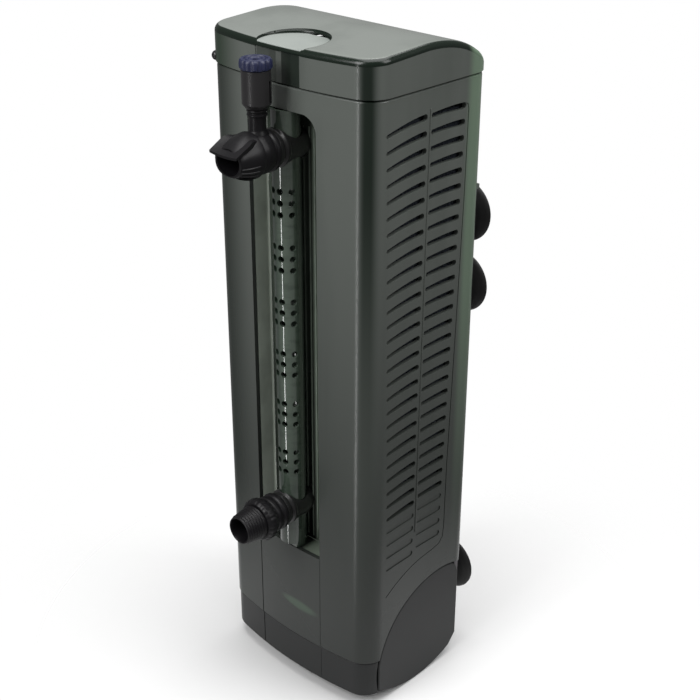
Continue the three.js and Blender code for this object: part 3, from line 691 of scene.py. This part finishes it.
def makeCasing():
    half = body["half"]
    piece = makePiece("casingShell", extruded(bodyOutline(), casing["low"], casing["high"],
                                              rims=(0.35, 0.9), steps=3))
    inner = extruded(bodyOutline(-body["wall"]), 10, 330)
    mouth = extruded(channelOutline(), -20, 4, "y")
    swing = rod(casing["motorRadius"], (casing["motorY"], casing["motorZ"]), -60, 60, "x", 96)
    recess = block((-47.3, 70.2, 0), (47.3, 90, 257.3))
    gills, blind = [], []
    for row in range(casing["louvreRows"] + casing["blindRows"]):
        for front, back, z, rise, thin, bow in gillColumns(row):
            open_ = row < casing["louvreRows"]
            start = half - 6 if open_ else half - 0.45
            for ends in ((start, half + 2), (-half - 2, -start)):
                (gills if open_ else blind).append(
                    extruded(gillOutline(front, back, z, rise, thin, bow), *ends, "x"))
    border = [(58.9, 300.4), (60.4, 299.6), (60.9, 297.5), (60.3, 258), (58.1, 185.5),
              (55.8, 117), (55.4, 80), (54.6, 74.5), (52, 71.6), (47, 70.5), (38.7, 69.7),
              (32, 68.4), (25.2, 66), (18.4, 62.8), (12.1, 58.8)]
    lines = [extruded(ribbon(border, 0.55), half - 0.35, half + 1, "x"),
             extruded(ribbon(border, 0.55), -half - 1, 0.35 - half, "x")]
    for x, width, deep in ((-21.4, 0.3, 0.45), (21.4, 0.15, 0.15)):
        lines.append(block((x - width, frontAt(x) - 2, 15), (x + width, frontAt(x) + deep, 75.5)))
    carved(piece, inner, mouth, swing, recess, gathered(*gills), gathered(*blind), gathered(*lines))
    back = block((-49.4, 68.0, 60), (49.4, 70.1, 257.2))
    ledge = block((-49.4, 68.0, 257.3), (49.4, 73.0, 259.5))
    lugs = knuckle(-1, 31, 38, 73.6, 309.7, 311.7) + knuckle(1, 31, 38, 73.6, 309.7, 311.7)
    spines = []
    for x in (-half, half):
        foot = block((x - 0.35, 32.5, 88), (x + 0.35, 33.5, 303), 0.3)
        for vert in foot.verts:
            vert.co.y += 2.2 * (vert.co.z - 88) / 215
        spines.append(foot)
    addTo(piece, back, ledge, *lugs, *spines)
    settle(piece, "casing", finishes["casing"], ["casing_shell"])
    return piece


makeCasing()
print("casing made")

trough = {"back": 6.5, "wall": 1.6, "ribs": (-18.6, -13.2, 2.8, 6.4, 9.4), "ribDeep": 0.65}


def makeTrough():
    slab = makePiece("frontTrough", extruded(channelOutline(trough["wall"]), -3.2, 8.1, "y"))
    hollow = extruded(channelOutline(), -14, trough["back"], "y", (0, 1.2), 3)
    front = extruded(bodyOutline(-2.5), 60, 320)
    carved(slab, front, keep="INTERSECT")
    carved(slab, hollow, rod(5.2, (0, 284.4), 0, 20, "y", 32))
    bars = []
    for x in trough["ribs"]:
        bars.append(block((x - 0.5, trough["back"] - trough["ribDeep"], 78),
                          (x + 0.5, trough["back"] + 0.4, 292), 0.25))
    addTo(slab, *bars)
    settle(slab, "casing", finishes["trough"], ["front_channel"])


makeTrough()

spray = {
    "y": -1.7, "radius": 6.9, "wall": 1.6, "low": 76.2, "high": 300.9, "hole": 1.55,
    "topGroup": 259.0, "groupPitch": 26.6, "rowPitch": 5.5, "angles": (-64, -17, 17, 64),
}


def makeSprayTube():
    inner = spray["radius"] - spray["wall"]
    profile = [(0, spray["low"]), (spray["radius"], spray["low"]), (spray["radius"], spray["high"]),
               (inner, spray["high"]), (inner, spray["low"] + 1.6), (0, spray["low"] + 1.6)]
    piece = makePiece("sprayTube", turned(profile, (0, spray["y"]), count=64))
    drills = [[], []]
    for group in range(6):
        for row in (-1, 0, 1):
            z = spray["topGroup"] - group * spray["groupPitch"] + row * spray["rowPitch"]
            for index, angle in enumerate(spray["angles"]):
                turn = math.radians(angle)
                drill = rod(spray["hole"], (0, 0), 4.4, 9, "y", 14)
                for vert in drill.verts:
                    x, y = vert.co.x, -vert.co.y
                    vert.co = (x * math.cos(turn) - y * math.sin(turn),
                               x * math.sin(turn) + y * math.cos(turn) + spray["y"], vert.co.z + z)
                drills[index % 2].append(drill)
    ports = gathered(rod(4.6, (0, 284.4), -20, 20, "y", 28), rod(4.6, (0, 99.4), -20, -1.7, "y", 28))
    foot = block((-12, -20, 70), (12, -5.5, 78.2))
    carved(piece, gathered(*drills[0]), gathered(*drills[1]), ports, foot)
    settle(piece, "casing", finishes["tube"], ["spray_tube"])


makeSprayTube()
print("front channel made")

branch = {"top": 284.4, "low": 99.4, "radius": 8.4, "bore": 5.2}


def makeBranch(name, z, node):
    r = branch["radius"]
    profile = softened([
        (branch["bore"], 6.2), (r - 1.2, 6.2), (r, 2), (r, -6.6), (r + 0.5, -7.2), (r + 0.5, -8.6),
        (r - 0.5, -9.2), (r - 0.5, -10.2), (r + 0.2, -10.8), (r + 0.2, -12.3), (branch["bore"], -12.3),
    ])
    piece = makePiece(name, turned(profile, (0, z), "y", 56))
    carved(piece, rod(spray["radius"] + 0.3, (0, spray["y"]), z - 20, z + 20, "z", 64))
    settle(piece, "casing", finishes["neck"], [node])


makeBranch("upperBranch", branch["top"], "upper_tee")
makeBranch("lowerBranch", branch["low"], "lower_tee")

collar = {"back": -12.6, "front": -22.6, "airY": -18.3}


def makeNozzleCollar():
    z = branch["top"]
    profile = softened([
        (5.2, collar["back"]), (9.1, collar["back"]), (9.6, -13.2), (9.6, -14.9), (8.9, -15.3),
        (8.9, -16.1), (9.5, -16.6), (9.6, -19.8), (9.2, collar["front"]), (5.2, collar["front"]),
    ])
    piece = makePiece("nozzleCollar", turned(profile, (0, z), "y", 56))
    tube = turned(softened([
        (1.6, z + 5.4), (5.2, z + 5.4), (4.6, z + 8.6), (3.8, z + 10.2), (3.7, z + 16.2),
        (4.5, z + 16.5), (4.5, z + 17.3), (3.9, z + 17.6), (3.9, z + 18.0), (4.5, z + 18.3),
        (4.5, z + 19.3), (1.6, z + 19.3),
    ]), (0, collar["airY"]), count=36)
    addTo(piece, tube)
    settle(piece, "nozzle_collar", finishes["plum"], ["nozzle_collar"])


makeNozzleCollar()

airValve = {"radius": 6.4, "low": 304.0, "high": 320.5, "knob": 7.1, "knobLow": 320.8, "flutes": 12}


def makeAirBody():
    r = airValve["radius"]
    profile = softened([
        (1.6, airValve["low"]), (r - 1.6, airValve["low"]), (r, airValve["low"] + 2),
        (r, airValve["high"]),
        (3, airValve["high"]), (3, 310), (1.6, 309),
    ], 0.25)
    piece = makePiece("airValveBody", turned(profile, (0, collar["airY"]), count=48))
    slits = []
    for turn in (200, 20):
        angle = math.radians(turn)
        slit = block((r - 0.9, -0.6, 306.5), (r + 1, 0.6, 316), 0.2)
        bmesh.ops.rotate(slit, cent=(0, 0, 0), verts=slit.verts,
                         matrix=Matrix.Rotation(angle, 3, "Z"))
        bmesh.ops.translate(slit, verts=slit.verts, vec=(0, collar["airY"], 0))
        slits.append(slit)
    carved(piece, gathered(*slits))
    settle(piece, "nozzle_collar", finishes["valve"], ["air_valve_body"])


makeAirBody()


def makeAirKnob():
    r, low = airValve["knob"], airValve["knobLow"]
    top = low + 4.3
    profile = [
        (0, low - 9), (2, low - 9), (2, low), (r - 0.5, low), (r, low + 0.6), (r - 0.05, top - 1.2),
        (r - 0.25, top - 0.5), (r - 0.8, top), (5.2, top), (4.9, top - 0.5), (4.3, top - 0.5),
        (4.0, top - 0.1), (3.1, top - 0.1), (2.8, top - 0.5), (1.3, top - 0.5), (1.0, top - 2.4),
        (0, top - 2.4),
    ]

    def fluted(radius, angle, index):
        if 4 <= index <= 6:
            return radius - 0.5 * (0.5 + 0.5 * math.cos(airValve["flutes"] * angle)) ** 2
        return radius

    piece = makePiece("airKnob", turned(profile, (0, collar["airY"]), count=144, shapeRadius=fluted))
    settle(piece, "air_knob", finishes["navy"], ["air_valve_knob"])


makeAirKnob()

bill = {
    # y, half width, height above and below the axis, squareness
    "sections": [
        (-22.9, 10.1, 10.1, 10.1, 2.0), (-23.6, 10.4, 10.3, 10.4, 2.0),
        (-26.0, 10.3, 9.9, 10.3, 2.0), (-28.6, 9.9, 8.9, 9.7, 2.1), (-31.2, 9.3, 7.7, 8.8, 2.25),
        (-33.6, 8.9, 6.3, 7.8, 2.4), (-35.2, 8.6, 5.2, 7.1, 2.5), (-35.6, 8.2, 4.8, 6.8, 2.5),
    ],
    "lip": -38.3, "ribs": 5,
}


def billRing(y, half, above, below, power, count=56):
    ring = []
    for i in range(count):
        angle = 2 * math.pi * i / count
        c, s = math.cos(angle), math.sin(angle)
        x = half * math.copysign(abs(c) ** (2 / power), c)
        high = above if s > 0 else below
        ring.append((x, y, branch["top"] + high * math.copysign(abs(s) ** (2 / power), s)))
    return ring


def billTongue():
    # the upper bill: a thin tongue with raised sides that runs forward to a straight lip
    rings = []
    for t in range(11):
        share = t / 10
        forward = min(share * 3, 1)
        y = -24.6 + (bill["lip"] + 24.6) * share
        half = 6.6 + 2.4 * min(share * 2.2, 1) - 0.4 * share
        top = branch["top"] + 9.9 - 6.3 * share ** 1.1
        thick = 3.2 - 2.1 * share
        upper, lower = [], []
        for i in range(13):
            u = -1 + i / 6
            dish = (1.5 - 0.9 * share) * (u * u - 0.6) * forward - (1 - forward) * u * u * 2.2
            upper.append((half * u, y, top + dish))
            lower.append((half * u * 0.98, y, top + dish - thick))
        rings.append(upper + lower[::-1])
    return sectioned(rings)


def billRib(side, angle):
    # a low rib that runs forward along the lower bill
    c, s = math.cos(angle), math.sin(angle)
    rings = []
    for k, (y, half, _, below, power) in enumerate(bill["sections"][2:7]):
        x = side * half * abs(c) ** (2 / power)
        height = branch["top"] - below * abs(s) ** (2 / power)
        swell = 0.42 * math.sin(math.pi * (k + 0.4) / 4.8)
        ring = []
        for j in range(8):
            turn = math.pi * j / 4
            out, along = swell * math.cos(turn), 0.36 * math.sin(turn)
            ring.append((x + side * (c * out + s * along), y, height + s * out + c * along))
        rings.append(ring)
    return sectioned(rings)


def makeNozzle():
    z = branch["top"]
    shell = sectioned([billRing(*section) for section in bill["sections"]])
    piece = makePiece("duckbillNozzle", shell, sharp=40)
    mouth = turned([(0, -50), (7.4, -50), (7.2, -36.2), (6.8, -34.8), (5.6, -30), (5.2, -26), (5.2, -10),
                    (0, -10)], (0, z), "y", 48)
    for vert in mouth.verts:
        if vert.co.y < -28:
            vert.co.z = z - 0.5 + (vert.co.z - z) * 0.84
    carved(piece, mouth, sharp=40)
    tongue = billTongue()
    ribs = [billRib(side, math.radians(-12 - 13 * i)) for side in (-1, 1) for i in range(bill["ribs"])]
    addTo(piece, tongue, *ribs, sharp=40)
    settle(piece, "nozzle", finishes["plum"], ["nozzle"])


makeNozzle()
print("nozzle made")

outlet = {"back": -27.1, "front": -38.0, "pitch": 1.4, "root": 8.3, "taper": 1.45, "thread": 0.55}


def makeLowerCollar():
    profile = softened([
        (5.2, -12.6), (9.0, -12.6), (9.35, -13.2), (9.35, -15.2), (8.7, -15.8), (8.7, -16.8),
        (9.3, -17.5), (9.3, -19.2), (8.9, -19.8), (9.8, -21), (10.8, -22.6), (10.8, -25.6),
        (9.6, -27), (5.2, -27),
    ], 0.25)

    def gripped(radius, angle, index):
        if radius > 9.7:
            return radius - 0.25 * (0.5 + 0.5 * math.cos(24 * angle)) ** 3
        return radius

    piece = makePiece("lowerCollar", turned(profile, (0, branch["low"]), "y", 144, gripped))
    settle(piece, "lower_outlet", finishes["plum"], ["lower_collar"])


makeLowerCollar()


def makeThreadedOutlet():
    count, z = 48, branch["low"]
    rings = []
    steps = 92
    for k in range(steps + 1):
        share = k / steps
        y = outlet["back"] + (outlet["front"] - outlet["back"]) * share
        radius = outlet["root"] - outlet["taper"] * share
        fade = min(1, share * 12, (1 - share) * 9)
        ring = []
        for i in range(count):
            angle = 2 * math.pi * i / count
            turn = (y / outlet["pitch"] + i / count) % 1
            ridge = max(0, 1 - abs(turn - 0.5) * 3.2)
            r = radius + outlet["thread"] * ridge * fade
            ring.append((r * math.cos(angle), y, z + r * math.sin(angle)))
        rings.append(ring)
    front, back = outlet["front"], outlet["back"]
    for radius, y in ((6.3, front), (6.1, front + 0.4), (6.0, -33), (5.2, -29), (5.2, back)):
        rings.append([(u, y, v) for u, v in circle(radius, (0, z), count)])
    piece = makePiece("threadedOutlet", sectioned(rings, closed=True), sharp=60)
    settle(piece, "lower_outlet", finishes["plum"], ["threaded_outlet"])


makeThreadedOutlet()
print("outlet made")

skirt = {"high": 20.7, "shrink": -0.6, "back": 7.9}


def makeSkirt():
    piece = makePiece("frontSkirt", extruded(bodyOutline(skirt["shrink"]), 0, skirt["high"],
                                             rims=(0.9, 0.3), steps=3))
    lines = []
    for x, width, deep in ((-21.4, 0.3, 0.95), (21.4, 0.15, 0.72)):
        lines.append(block((x - width, frontAt(x) - 2, -2), (x + width, frontAt(x) + deep, 30)))
    carved(piece, extruded(bodyOutline(-2.8), 2.2, 40),
           block((-60, skirt["back"], -5), (60, 90, 40)),
           rod(casing["motorRadius"] + 0.1, (casing["motorY"], casing["motorZ"]), -60, 60, "x", 96),
           gathered(*lines))
    settle(piece, "casing", finishes["base"], ["base_skirt"])


makeSkirt()

motor = {"y": 52.0, "z": 10.5, "radius": 44.3, "front": 8.3, "back": 69.3, "half": 50.6,
         "bellyRadius": 60.0, "bellyY": 38.5, "bellyLow": -6.8, "wall": 2.4}


def motorOutline(inset=0.0):
    radius, front, back = motor["radius"] - inset, motor["front"] + inset, motor["back"] - inset
    low = math.pi - math.asin(math.sqrt(1 - ((motor["y"] - front) / radius) ** 2))
    high = math.acos((64 - motor["y"]) / radius)
    points = []
    for i in range(41):
        angle = low + (high - low) * i / 40
        points.append((motor["y"] + radius * math.cos(angle), motor["z"] + radius * math.sin(angle)))
    points += [(back - 1.8, 50), (back, 46), (back, 5 + inset)]
    middle = motor["bellyLow"] + motor["bellyRadius"]
    for i in range(21):
        y = 64 - inset + (front - 64 + inset) * i / 20
        drop = math.sqrt((motor["bellyRadius"] - inset) ** 2 - (y - motor["bellyY"]) ** 2)
        points.append((y, middle - drop))
    return points[::-1]


def makeMotorHousing():
    half = motor["half"]
    piece = makePiece("motorHousing", extruded(motorOutline(), -half, half, "x", (0.8, 0.8), 3))
    carved(piece, extruded(motorOutline(motor["wall"]), motor["wall"] - half, half - motor["wall"], "x"),
           block((-30, 22, -20), (30, 58, 2), 1.5),
           rod(8, (0, 47), 40, 70, "z", 40),
           rod(3.4, (0, 25.5), 36, 60, "z", 28),
           rod(4.3, (0, 20), 60, 80, "y", 32))
    settle(piece, "motor_unit", finishes["base"], ["motor_housing"])


makeMotorHousing()


def makeMotorCover():
    plate = makePiece("motorCover", block((-29.6, 22.4, -20), (29.6, 57.6, 2), 1.2))
    skin = extruded(motorOutline(0.3), -40, 40, "x")
    carved(plate, skin, keep="INTERSECT")
    carved(plate, extruded(motorOutline(motor["wall"]), -45, 45, "x"))
    slots = [block((x - 1.2, 28, -20), (x + 1.2, 52, 5), 0.4) for x in range(-20, 21, 8)]
    carved(plate, gathered(*slots))
    settle(plate, "motor_unit", finishes["inner"], ["motor_cover"])


makeMotorCover()


def makeGland():
    profile = softened([(2.4, 63.3), (4.0, 63.3), (4.0, 69.1), (3.8, 70.0), (2.4, 70.0)], 0.3)
    piece = makePiece("cableGland", turned(profile, (0, 20), "y", 32))
    settle(piece, "motor_unit", finishes["rubber"], ["cable_gland"])


makeGland()
print("motor unit made")

lid = {"low": 312.3, "top": 329.2, "grow": 0.5, "bevel": 3.0, "wall": 2.0, "scoopY": 3.5,
       "scoopRadius": 16.4, "scoopDeep": 1.0, "grip": 13.8}


def domed(grow, low, drop, rim, steps=6):
    # a block on the body's outline whose top follows the crown and whose upper edge is rounded
    rings = [[(x, y, low + 0.3) for x, y in bodyOutline(grow, 24)]]
    rings.insert(0, [(x, y, low) for x, y in bodyOutline(grow - 0.3, 24)])
    for k in range(steps + 1):
        turn = math.pi / 2 * k / steps
        outline = bodyOutline(grow - rim * (1 - math.cos(turn)), 24)
        rings.append([(x, y, crownAt(y) - drop - rim * (1 - math.sin(turn))) for x, y in outline])
    shape = bmesh.new()
    loops = [[shape.verts.new(point) for point in ring] for ring in rings]
    count, first = len(loops[0]), frontSteps
    shape.faces.new(loops[0])
    for a, b in zip(loops, loops[1:]):
        for i in range(count):
            j = (i + 1) % count
            shape.faces.new((a[i], a[j], b[j], b[i]))
    last = loops[-1]
    for i in range(first // 2, first // 2 + count // 2):
        right, ahead = last[i % count], last[(i + 1) % count]
        left, beyond = last[(first - i) % count], last[(first - i - 1) % count]
        corners = [right, ahead, beyond, left]
        face = [v for k, v in enumerate(corners) if v not in corners[:k]]
        if len(face) > 2:
            shape.faces.new(face)
    return shape


def makeLid():
    piece = makePiece("topLid", domed(lid["grow"], lid["low"], 0, lid["bevel"]))
    carved(piece, domed(lid["grow"] - lid["wall"], 300, lid["wall"], 1.5))
    floor = lid["top"] - lid["scoopDeep"]
    scoop = rod(lid["scoopRadius"], (0, lid["scoopY"]), floor, 340, "z", 96, (0.25, 0))
    grip = block((-lid["grip"], -20, 300), (lid["grip"], -body["bulge"] + 0.4, lid["top"] - 3), 0.3)
    carved(piece, scoop, grip)
    addTo(piece, *knuckle(-1, 22, 30.6, 73.7, 312.4, 314.7), *knuckle(1, 22, 30.6, 73.7, 312.4, 314.7))
    settle(piece, "lid", finishes["lid"], ["lid"])


makeLid()


def makeLidTab():
    angle = math.pi * 1.24
    reach = body["corner"] + 0.1
    x, y = reach * math.cos(angle) - cornerX, reach * math.sin(angle) + cornerY
    profile = [(0, 312.4)] + [
        (2.3 * math.cos(math.pi * k / 12), 314.6 + 2.3 * math.sin(math.pi * k / 12)) for k in range(-5, 6)
    ] + [(0, 316.9)]
    piece = makePiece("lidTab", turned(profile, (x, y), count=28), sharp=60)
    settle(piece, "lid", finishes["neck"], ["lid_tab"])


makeLidTab()
print("lid made")

bracket = {"half": 47.0, "low": 31.0, "high": 257.0, "front": 70.5, "back": 73.5}
cup = {"x": 32.0, "heights": (239.0, 202.0, 34.4), "radius": 15.4, "neck": 2.8}


def makeBracket():
    half, low, high = bracket["half"], bracket["low"], bracket["high"]
    outline = [(-half + 5, low), (half - 5, low), (half, low + 5), (half, high - 1), (half - 1, high),
               (1 - half, high), (-half, high - 1), (-half, low + 5)]
    piece = makePiece("mountingBracket", extruded(outline, bracket["front"], bracket["back"], "y",
                                                  (0.4, 0.4), 2))
    holes = []
    for z in cup["heights"]:
        for x in (-cup["x"], cup["x"]):
            holes.append(rod(cup["neck"] + 0.3, (x, z), 60, 80, "y", 32))
    seats = [rod(5, (x, z), 60, 72.1, "y", 32) for z in cup["heights"] for x in (-cup["x"], cup["x"])]
    windows = [block((-14, 60, z), (14, 80, z + 22), 1.5) for z in (70, 110, 150)]
    carved(piece, gathered(*holes), gathered(*seats), gathered(*windows))
    ridges = []
    for x in (-43.5, 43.5):
        ridges.append(block((x - 0.8, 73.3, 40), (x + 0.8, 74.3, 250), 0.3))
    addTo(piece, *ridges)
    settle(piece, "bracket", finishes["bracket"], ["mounting_bracket"])


makeBracket()


def makeCup(x, z, node):
    r, glass = cup["radius"], glassPlane
    profile = softened([
        (0, 70.8), (4.6, 70.8), (4.6, 71.8), (cup["neck"], 71.9), (cup["neck"], 73.8), (7.2, 73.8),
        (7.6, 74.6), (7.2, 78.2), (8.2, 79.6), (r - 3.4, 81.9), (r - 1, 83.7), (r, glass - 0.8),
        (r, glass), (r - 1.2, glass), (10, 83.6), (4, 82.6), (0, 82.5),
    ], 0.5, 3)
    piece = makePiece(node, turned(profile, (x, z), "y", 56), sharp=50)
    settle(piece, "bracket", finishes["rubber"], [node])


for row, height in enumerate(cup["heights"]):
    makeCup(cup["x"], height, f"suction_cup_{row + 1}_right")
    makeCup(-cup["x"], height, f"suction_cup_{row + 1}_left")
print("bracket and cups made")

media = {"low": 61.0, "high": 299.0, "front": 10.5, "back": 66.0}


def makePad(side, node):
    low, high = sorted((side * 35.5, side * 48.0))
    shape = block((low, media["front"], media["low"]), (high, media["back"], media["high"]), 1.4, 3)
    bmesh.ops.subdivide_edges(shape, edges=[e for e in shape.edges if e.calc_length() > 5],
                              cuts=9, use_grid_fill=True)
    for vert in shape.verts:
        inset = 0.25 * random.random()
        vert.co.x += -side * inset if abs(vert.co.x) > 42 else side * inset
        vert.co.z -= inset if vert.co.z > 290 else 0
    piece = makePiece(node, shape, sharp=60)
    settle(piece, "casing", finishes["foam"], [node])


makePad(1, "foam_pad_right")
makePad(-1, "foam_pad_left")


def makeCartridge(side, node):
    inner, outer = sorted((side * 24.2, side * 35.2))
    filling = makePiece(node + "_filling", block(
        (inner + 1.2, media["front"] + 2, media["low"] + 2),
        (outer - 1.2, media["back"] - 2, media["high"] - 2), 0.8))
    filling.data.materials.append(finishes["carbon"])
    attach(filling, "casing")
    bars = []
    for z0, z1 in ((media["low"], media["low"] + 4), (media["high"] - 4, media["high"])):
        bars.append(block((inner, media["front"], z0), (outer, media["back"], z1), 0.5))
    for k in range(1, 6):
        z = media["low"] + (media["high"] - media["low"]) * k / 6
        bars.append(block((inner, media["front"], z - 1.2), (outer, media["back"], z + 1.2), 0.4))
    for y in (media["front"] + 1.4, media["back"] - 1.4):
        bars.append(block((inner, y - 1.4, media["low"]), (outer, y + 1.4, media["high"]), 0.5))
    piece = makePiece(node, gathered(*bars))
    settle(piece, "casing", finishes["inner"], [node])


makeCartridge(1, "carbon_cartridge_right")
makeCartridge(-1, "carbon_cartridge_left")

basket = {"half": 23.9, "front": 32.5, "back": 66.0, "wall": 1.5}


def makeBasket():
    half, front, back = basket["half"], basket["front"], basket["back"]
    piece = makePiece("mediaBasket", block((-half, front, media["low"]), (half, back, media["high"]), 0.6))
    wall = basket["wall"]
    slots = []
    for k in range(28):
        z = media["low"] + 12 + k * 8
        slots.append(block((-40, front + 4, z), (40, back - 4, z + 4.6)))
    carved(piece, block((wall - half, front + wall, media["low"] + wall), (half - wall, back - wall, 310)),
           gathered(*slots))
    settle(piece, "casing", finishes["inner"], ["media_basket"])


makeBasket()


def makeCeramicRings():
    rings = []
    for layer in range(7):
        z = 284 - layer * 5.2
        for i in range(6):
            for j in range(4):
                x = -18 + i * 7.2 + random.uniform(-0.7, 0.7)
                y = 38 + j * 7.3 + random.uniform(-0.7, 0.7)
                ring = turned([(1.3, -3), (2.9, -3), (3.1, -2.6), (3.1, 2.6), (2.9, 3), (1.3, 3)],
                              (0, 0), "z", 14)
                turn = Matrix.Rotation(random.uniform(0, 3.1), 3, "Z") @ Matrix.Rotation(
                    random.uniform(0.2, 1.5), 3, "X")
                bmesh.ops.rotate(ring, cent=(0, 0, 0), verts=ring.verts, matrix=turn)
                bmesh.ops.translate(ring, verts=ring.verts, vec=(x, y, z))
                for vert in ring.verts:
                    vert.co.x = max(min(vert.co.x, 22), -22)
                    vert.co.y = max(min(vert.co.y, 64), 34.4)
                rings.append(ring)
    rings.append(block((-21.8, 34.6, 62.9), (21.8, 63.9, 252)))
    piece = makePiece("ceramicRings", gathered(*rings))
    settle(piece, "casing", finishes["ceramic"], ["bio_media"])


makeCeramicRings()
print("filter media made")

# inner pieces keep their CAD shape and only get a finish
keptLooks = {
    "riser_duct": "inner", "flow_selector": "navy", "lid_hinge_pin": "steel", "media_tray": "inner",
    "rotor_well": "white", "stator_core": "sheet", "coil_right": "copper", "coil_left": "copper",
    "lower_bushing": "rubber", "upper_bushing": "rubber", "impeller_shaft": "ceramic",
    "rotor_magnet": "magnet", "impeller": "white", "pump_cover": "inner",
}
for node, look in keptLooks.items():
    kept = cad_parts[node]
    kept.data.materials.clear()
    kept.data.materials.append(finishes[look])
    kept.data.shade_smooth()
    kept.data.set_sharp_from_angle(angle=math.radians(32))
print("kept pieces finished:", len(keptLooks))

studio = {
    "floorLow": -6.9, "floorMiddle": 40, "floorFade": (235, 75), "sky": 0.22,
    "camera": (0.40007, -0.46651, 0.45933), "azimuth": 43.617, "pitch": 26.583, "roll": 0.182,
    "lens": 67.22,
}


def makeFloor():
    shape = bmesh.new()
    bmesh.ops.create_grid(shape, x_segments=1, y_segments=1, size=6000)
    for vert in shape.verts:
        vert.co.z = studio["floorLow"]
    floor = makePiece("floor", shape)
    paint = Finish("paleFloor", (0.66, 0.66, 0.66, 1), 0.9, Specular_IOR_Level=0.1)
    paint.set("Roughness", 0.85 + paint.grain(3, 2) * 0.1)
    x, y, _ = paint.where()
    y = y - studio["floorMiddle"]
    paint.set("Alpha", (x * x + y * y).root().rise(*studio["floorFade"]))
    floor.data.materials.append(paint.material)


makeFloor()


def addLight(name, at, toward, size, power, tone=(1, 1, 1)):
    data = bpy.data.lights.new(name, "AREA")
    data.shape = "RECTANGLE"
    data.size, data.size_y = size
    data.energy, data.color = power, tone
    lamp = bpy.data.objects.new(name, data)
    lamp.location = at
    lamp.rotation_mode = "QUATERNION"
    lamp.rotation_quaternion = (Vector(toward) - Vector(at)).to_track_quat("-Z", "Y")
    bpy.context.scene.collection.objects.link(lamp)


middle = (0, -0.045, 0.16)
addLight("overhead", (0.1, 0.1, 1.5), middle, (1.4, 1.4), 28)
addLight("front", (-0.2, -1.3, 1.25), middle, (0.8, 0.8), 18)
addLight("strip", (-0.1, -1.4, 0.45), middle, (0.08, 1.2), 3)
addLight("lowStrip", (-0.08, -1.2, -0.33), (0, -0.087, 0.22), (0.06, 0.6), 1.8)
addLight("rearRight", (1.3, 0.5, 1.2), middle, (0.8, 0.8), 12)


def makeSky():
    world = bpy.data.worlds.new("studioSky")
    bpy.context.scene.world = world
    world.use_nodes = True
    tree = world.node_tree
    backdrop = tree.nodes["Background"]
    backdrop.inputs["Color"].default_value = (1, 1, 1, 1)
    soft = tree.nodes.new("ShaderNodeBackground")
    soft.inputs["Color"].default_value = (1, 1, 1, 1)
    soft.inputs["Strength"].default_value = studio["sky"]
    path = tree.nodes.new("ShaderNodeLightPath")
    mix = tree.nodes.new("ShaderNodeMixShader")
    tree.links.new(path.outputs["Is Camera Ray"], mix.inputs[0])
    tree.links.new(soft.outputs[0], mix.inputs[1])
    tree.links.new(backdrop.outputs[0], mix.inputs[2])
    tree.links.new(mix.outputs[0], tree.nodes["World Output"].inputs["Surface"])


makeSky()


def makeCamera():
    data = bpy.data.cameras.new("studioCamera")
    data.lens, data.sensor_width = studio["lens"], 36
    data.clip_start, data.clip_end = 0.01, 50
    camera = bpy.data.objects.new("studioCamera", data)
    a, p, r = (math.radians(studio[key]) for key in ("azimuth", "pitch", "roll"))
    ahead = Vector((-math.sin(a) * math.cos(p), math.cos(a) * math.cos(p), -math.sin(p)))
    right = Vector((math.cos(a), math.sin(a), 0))
    up = right.cross(ahead)
    across = right * math.cos(r) + up * math.sin(r)
    upward = up * math.cos(r) - right * math.sin(r)
    camera.matrix_world = Matrix.Translation(studio["camera"]) @ Matrix(
        (across, upward, -ahead)).transposed().to_4x4()
    bpy.context.scene.collection.objects.link(camera)
    bpy.context.scene.camera = camera


makeCamera()
bpy.context.scene.view_settings.view_transform = "Standard"
print("studio set")
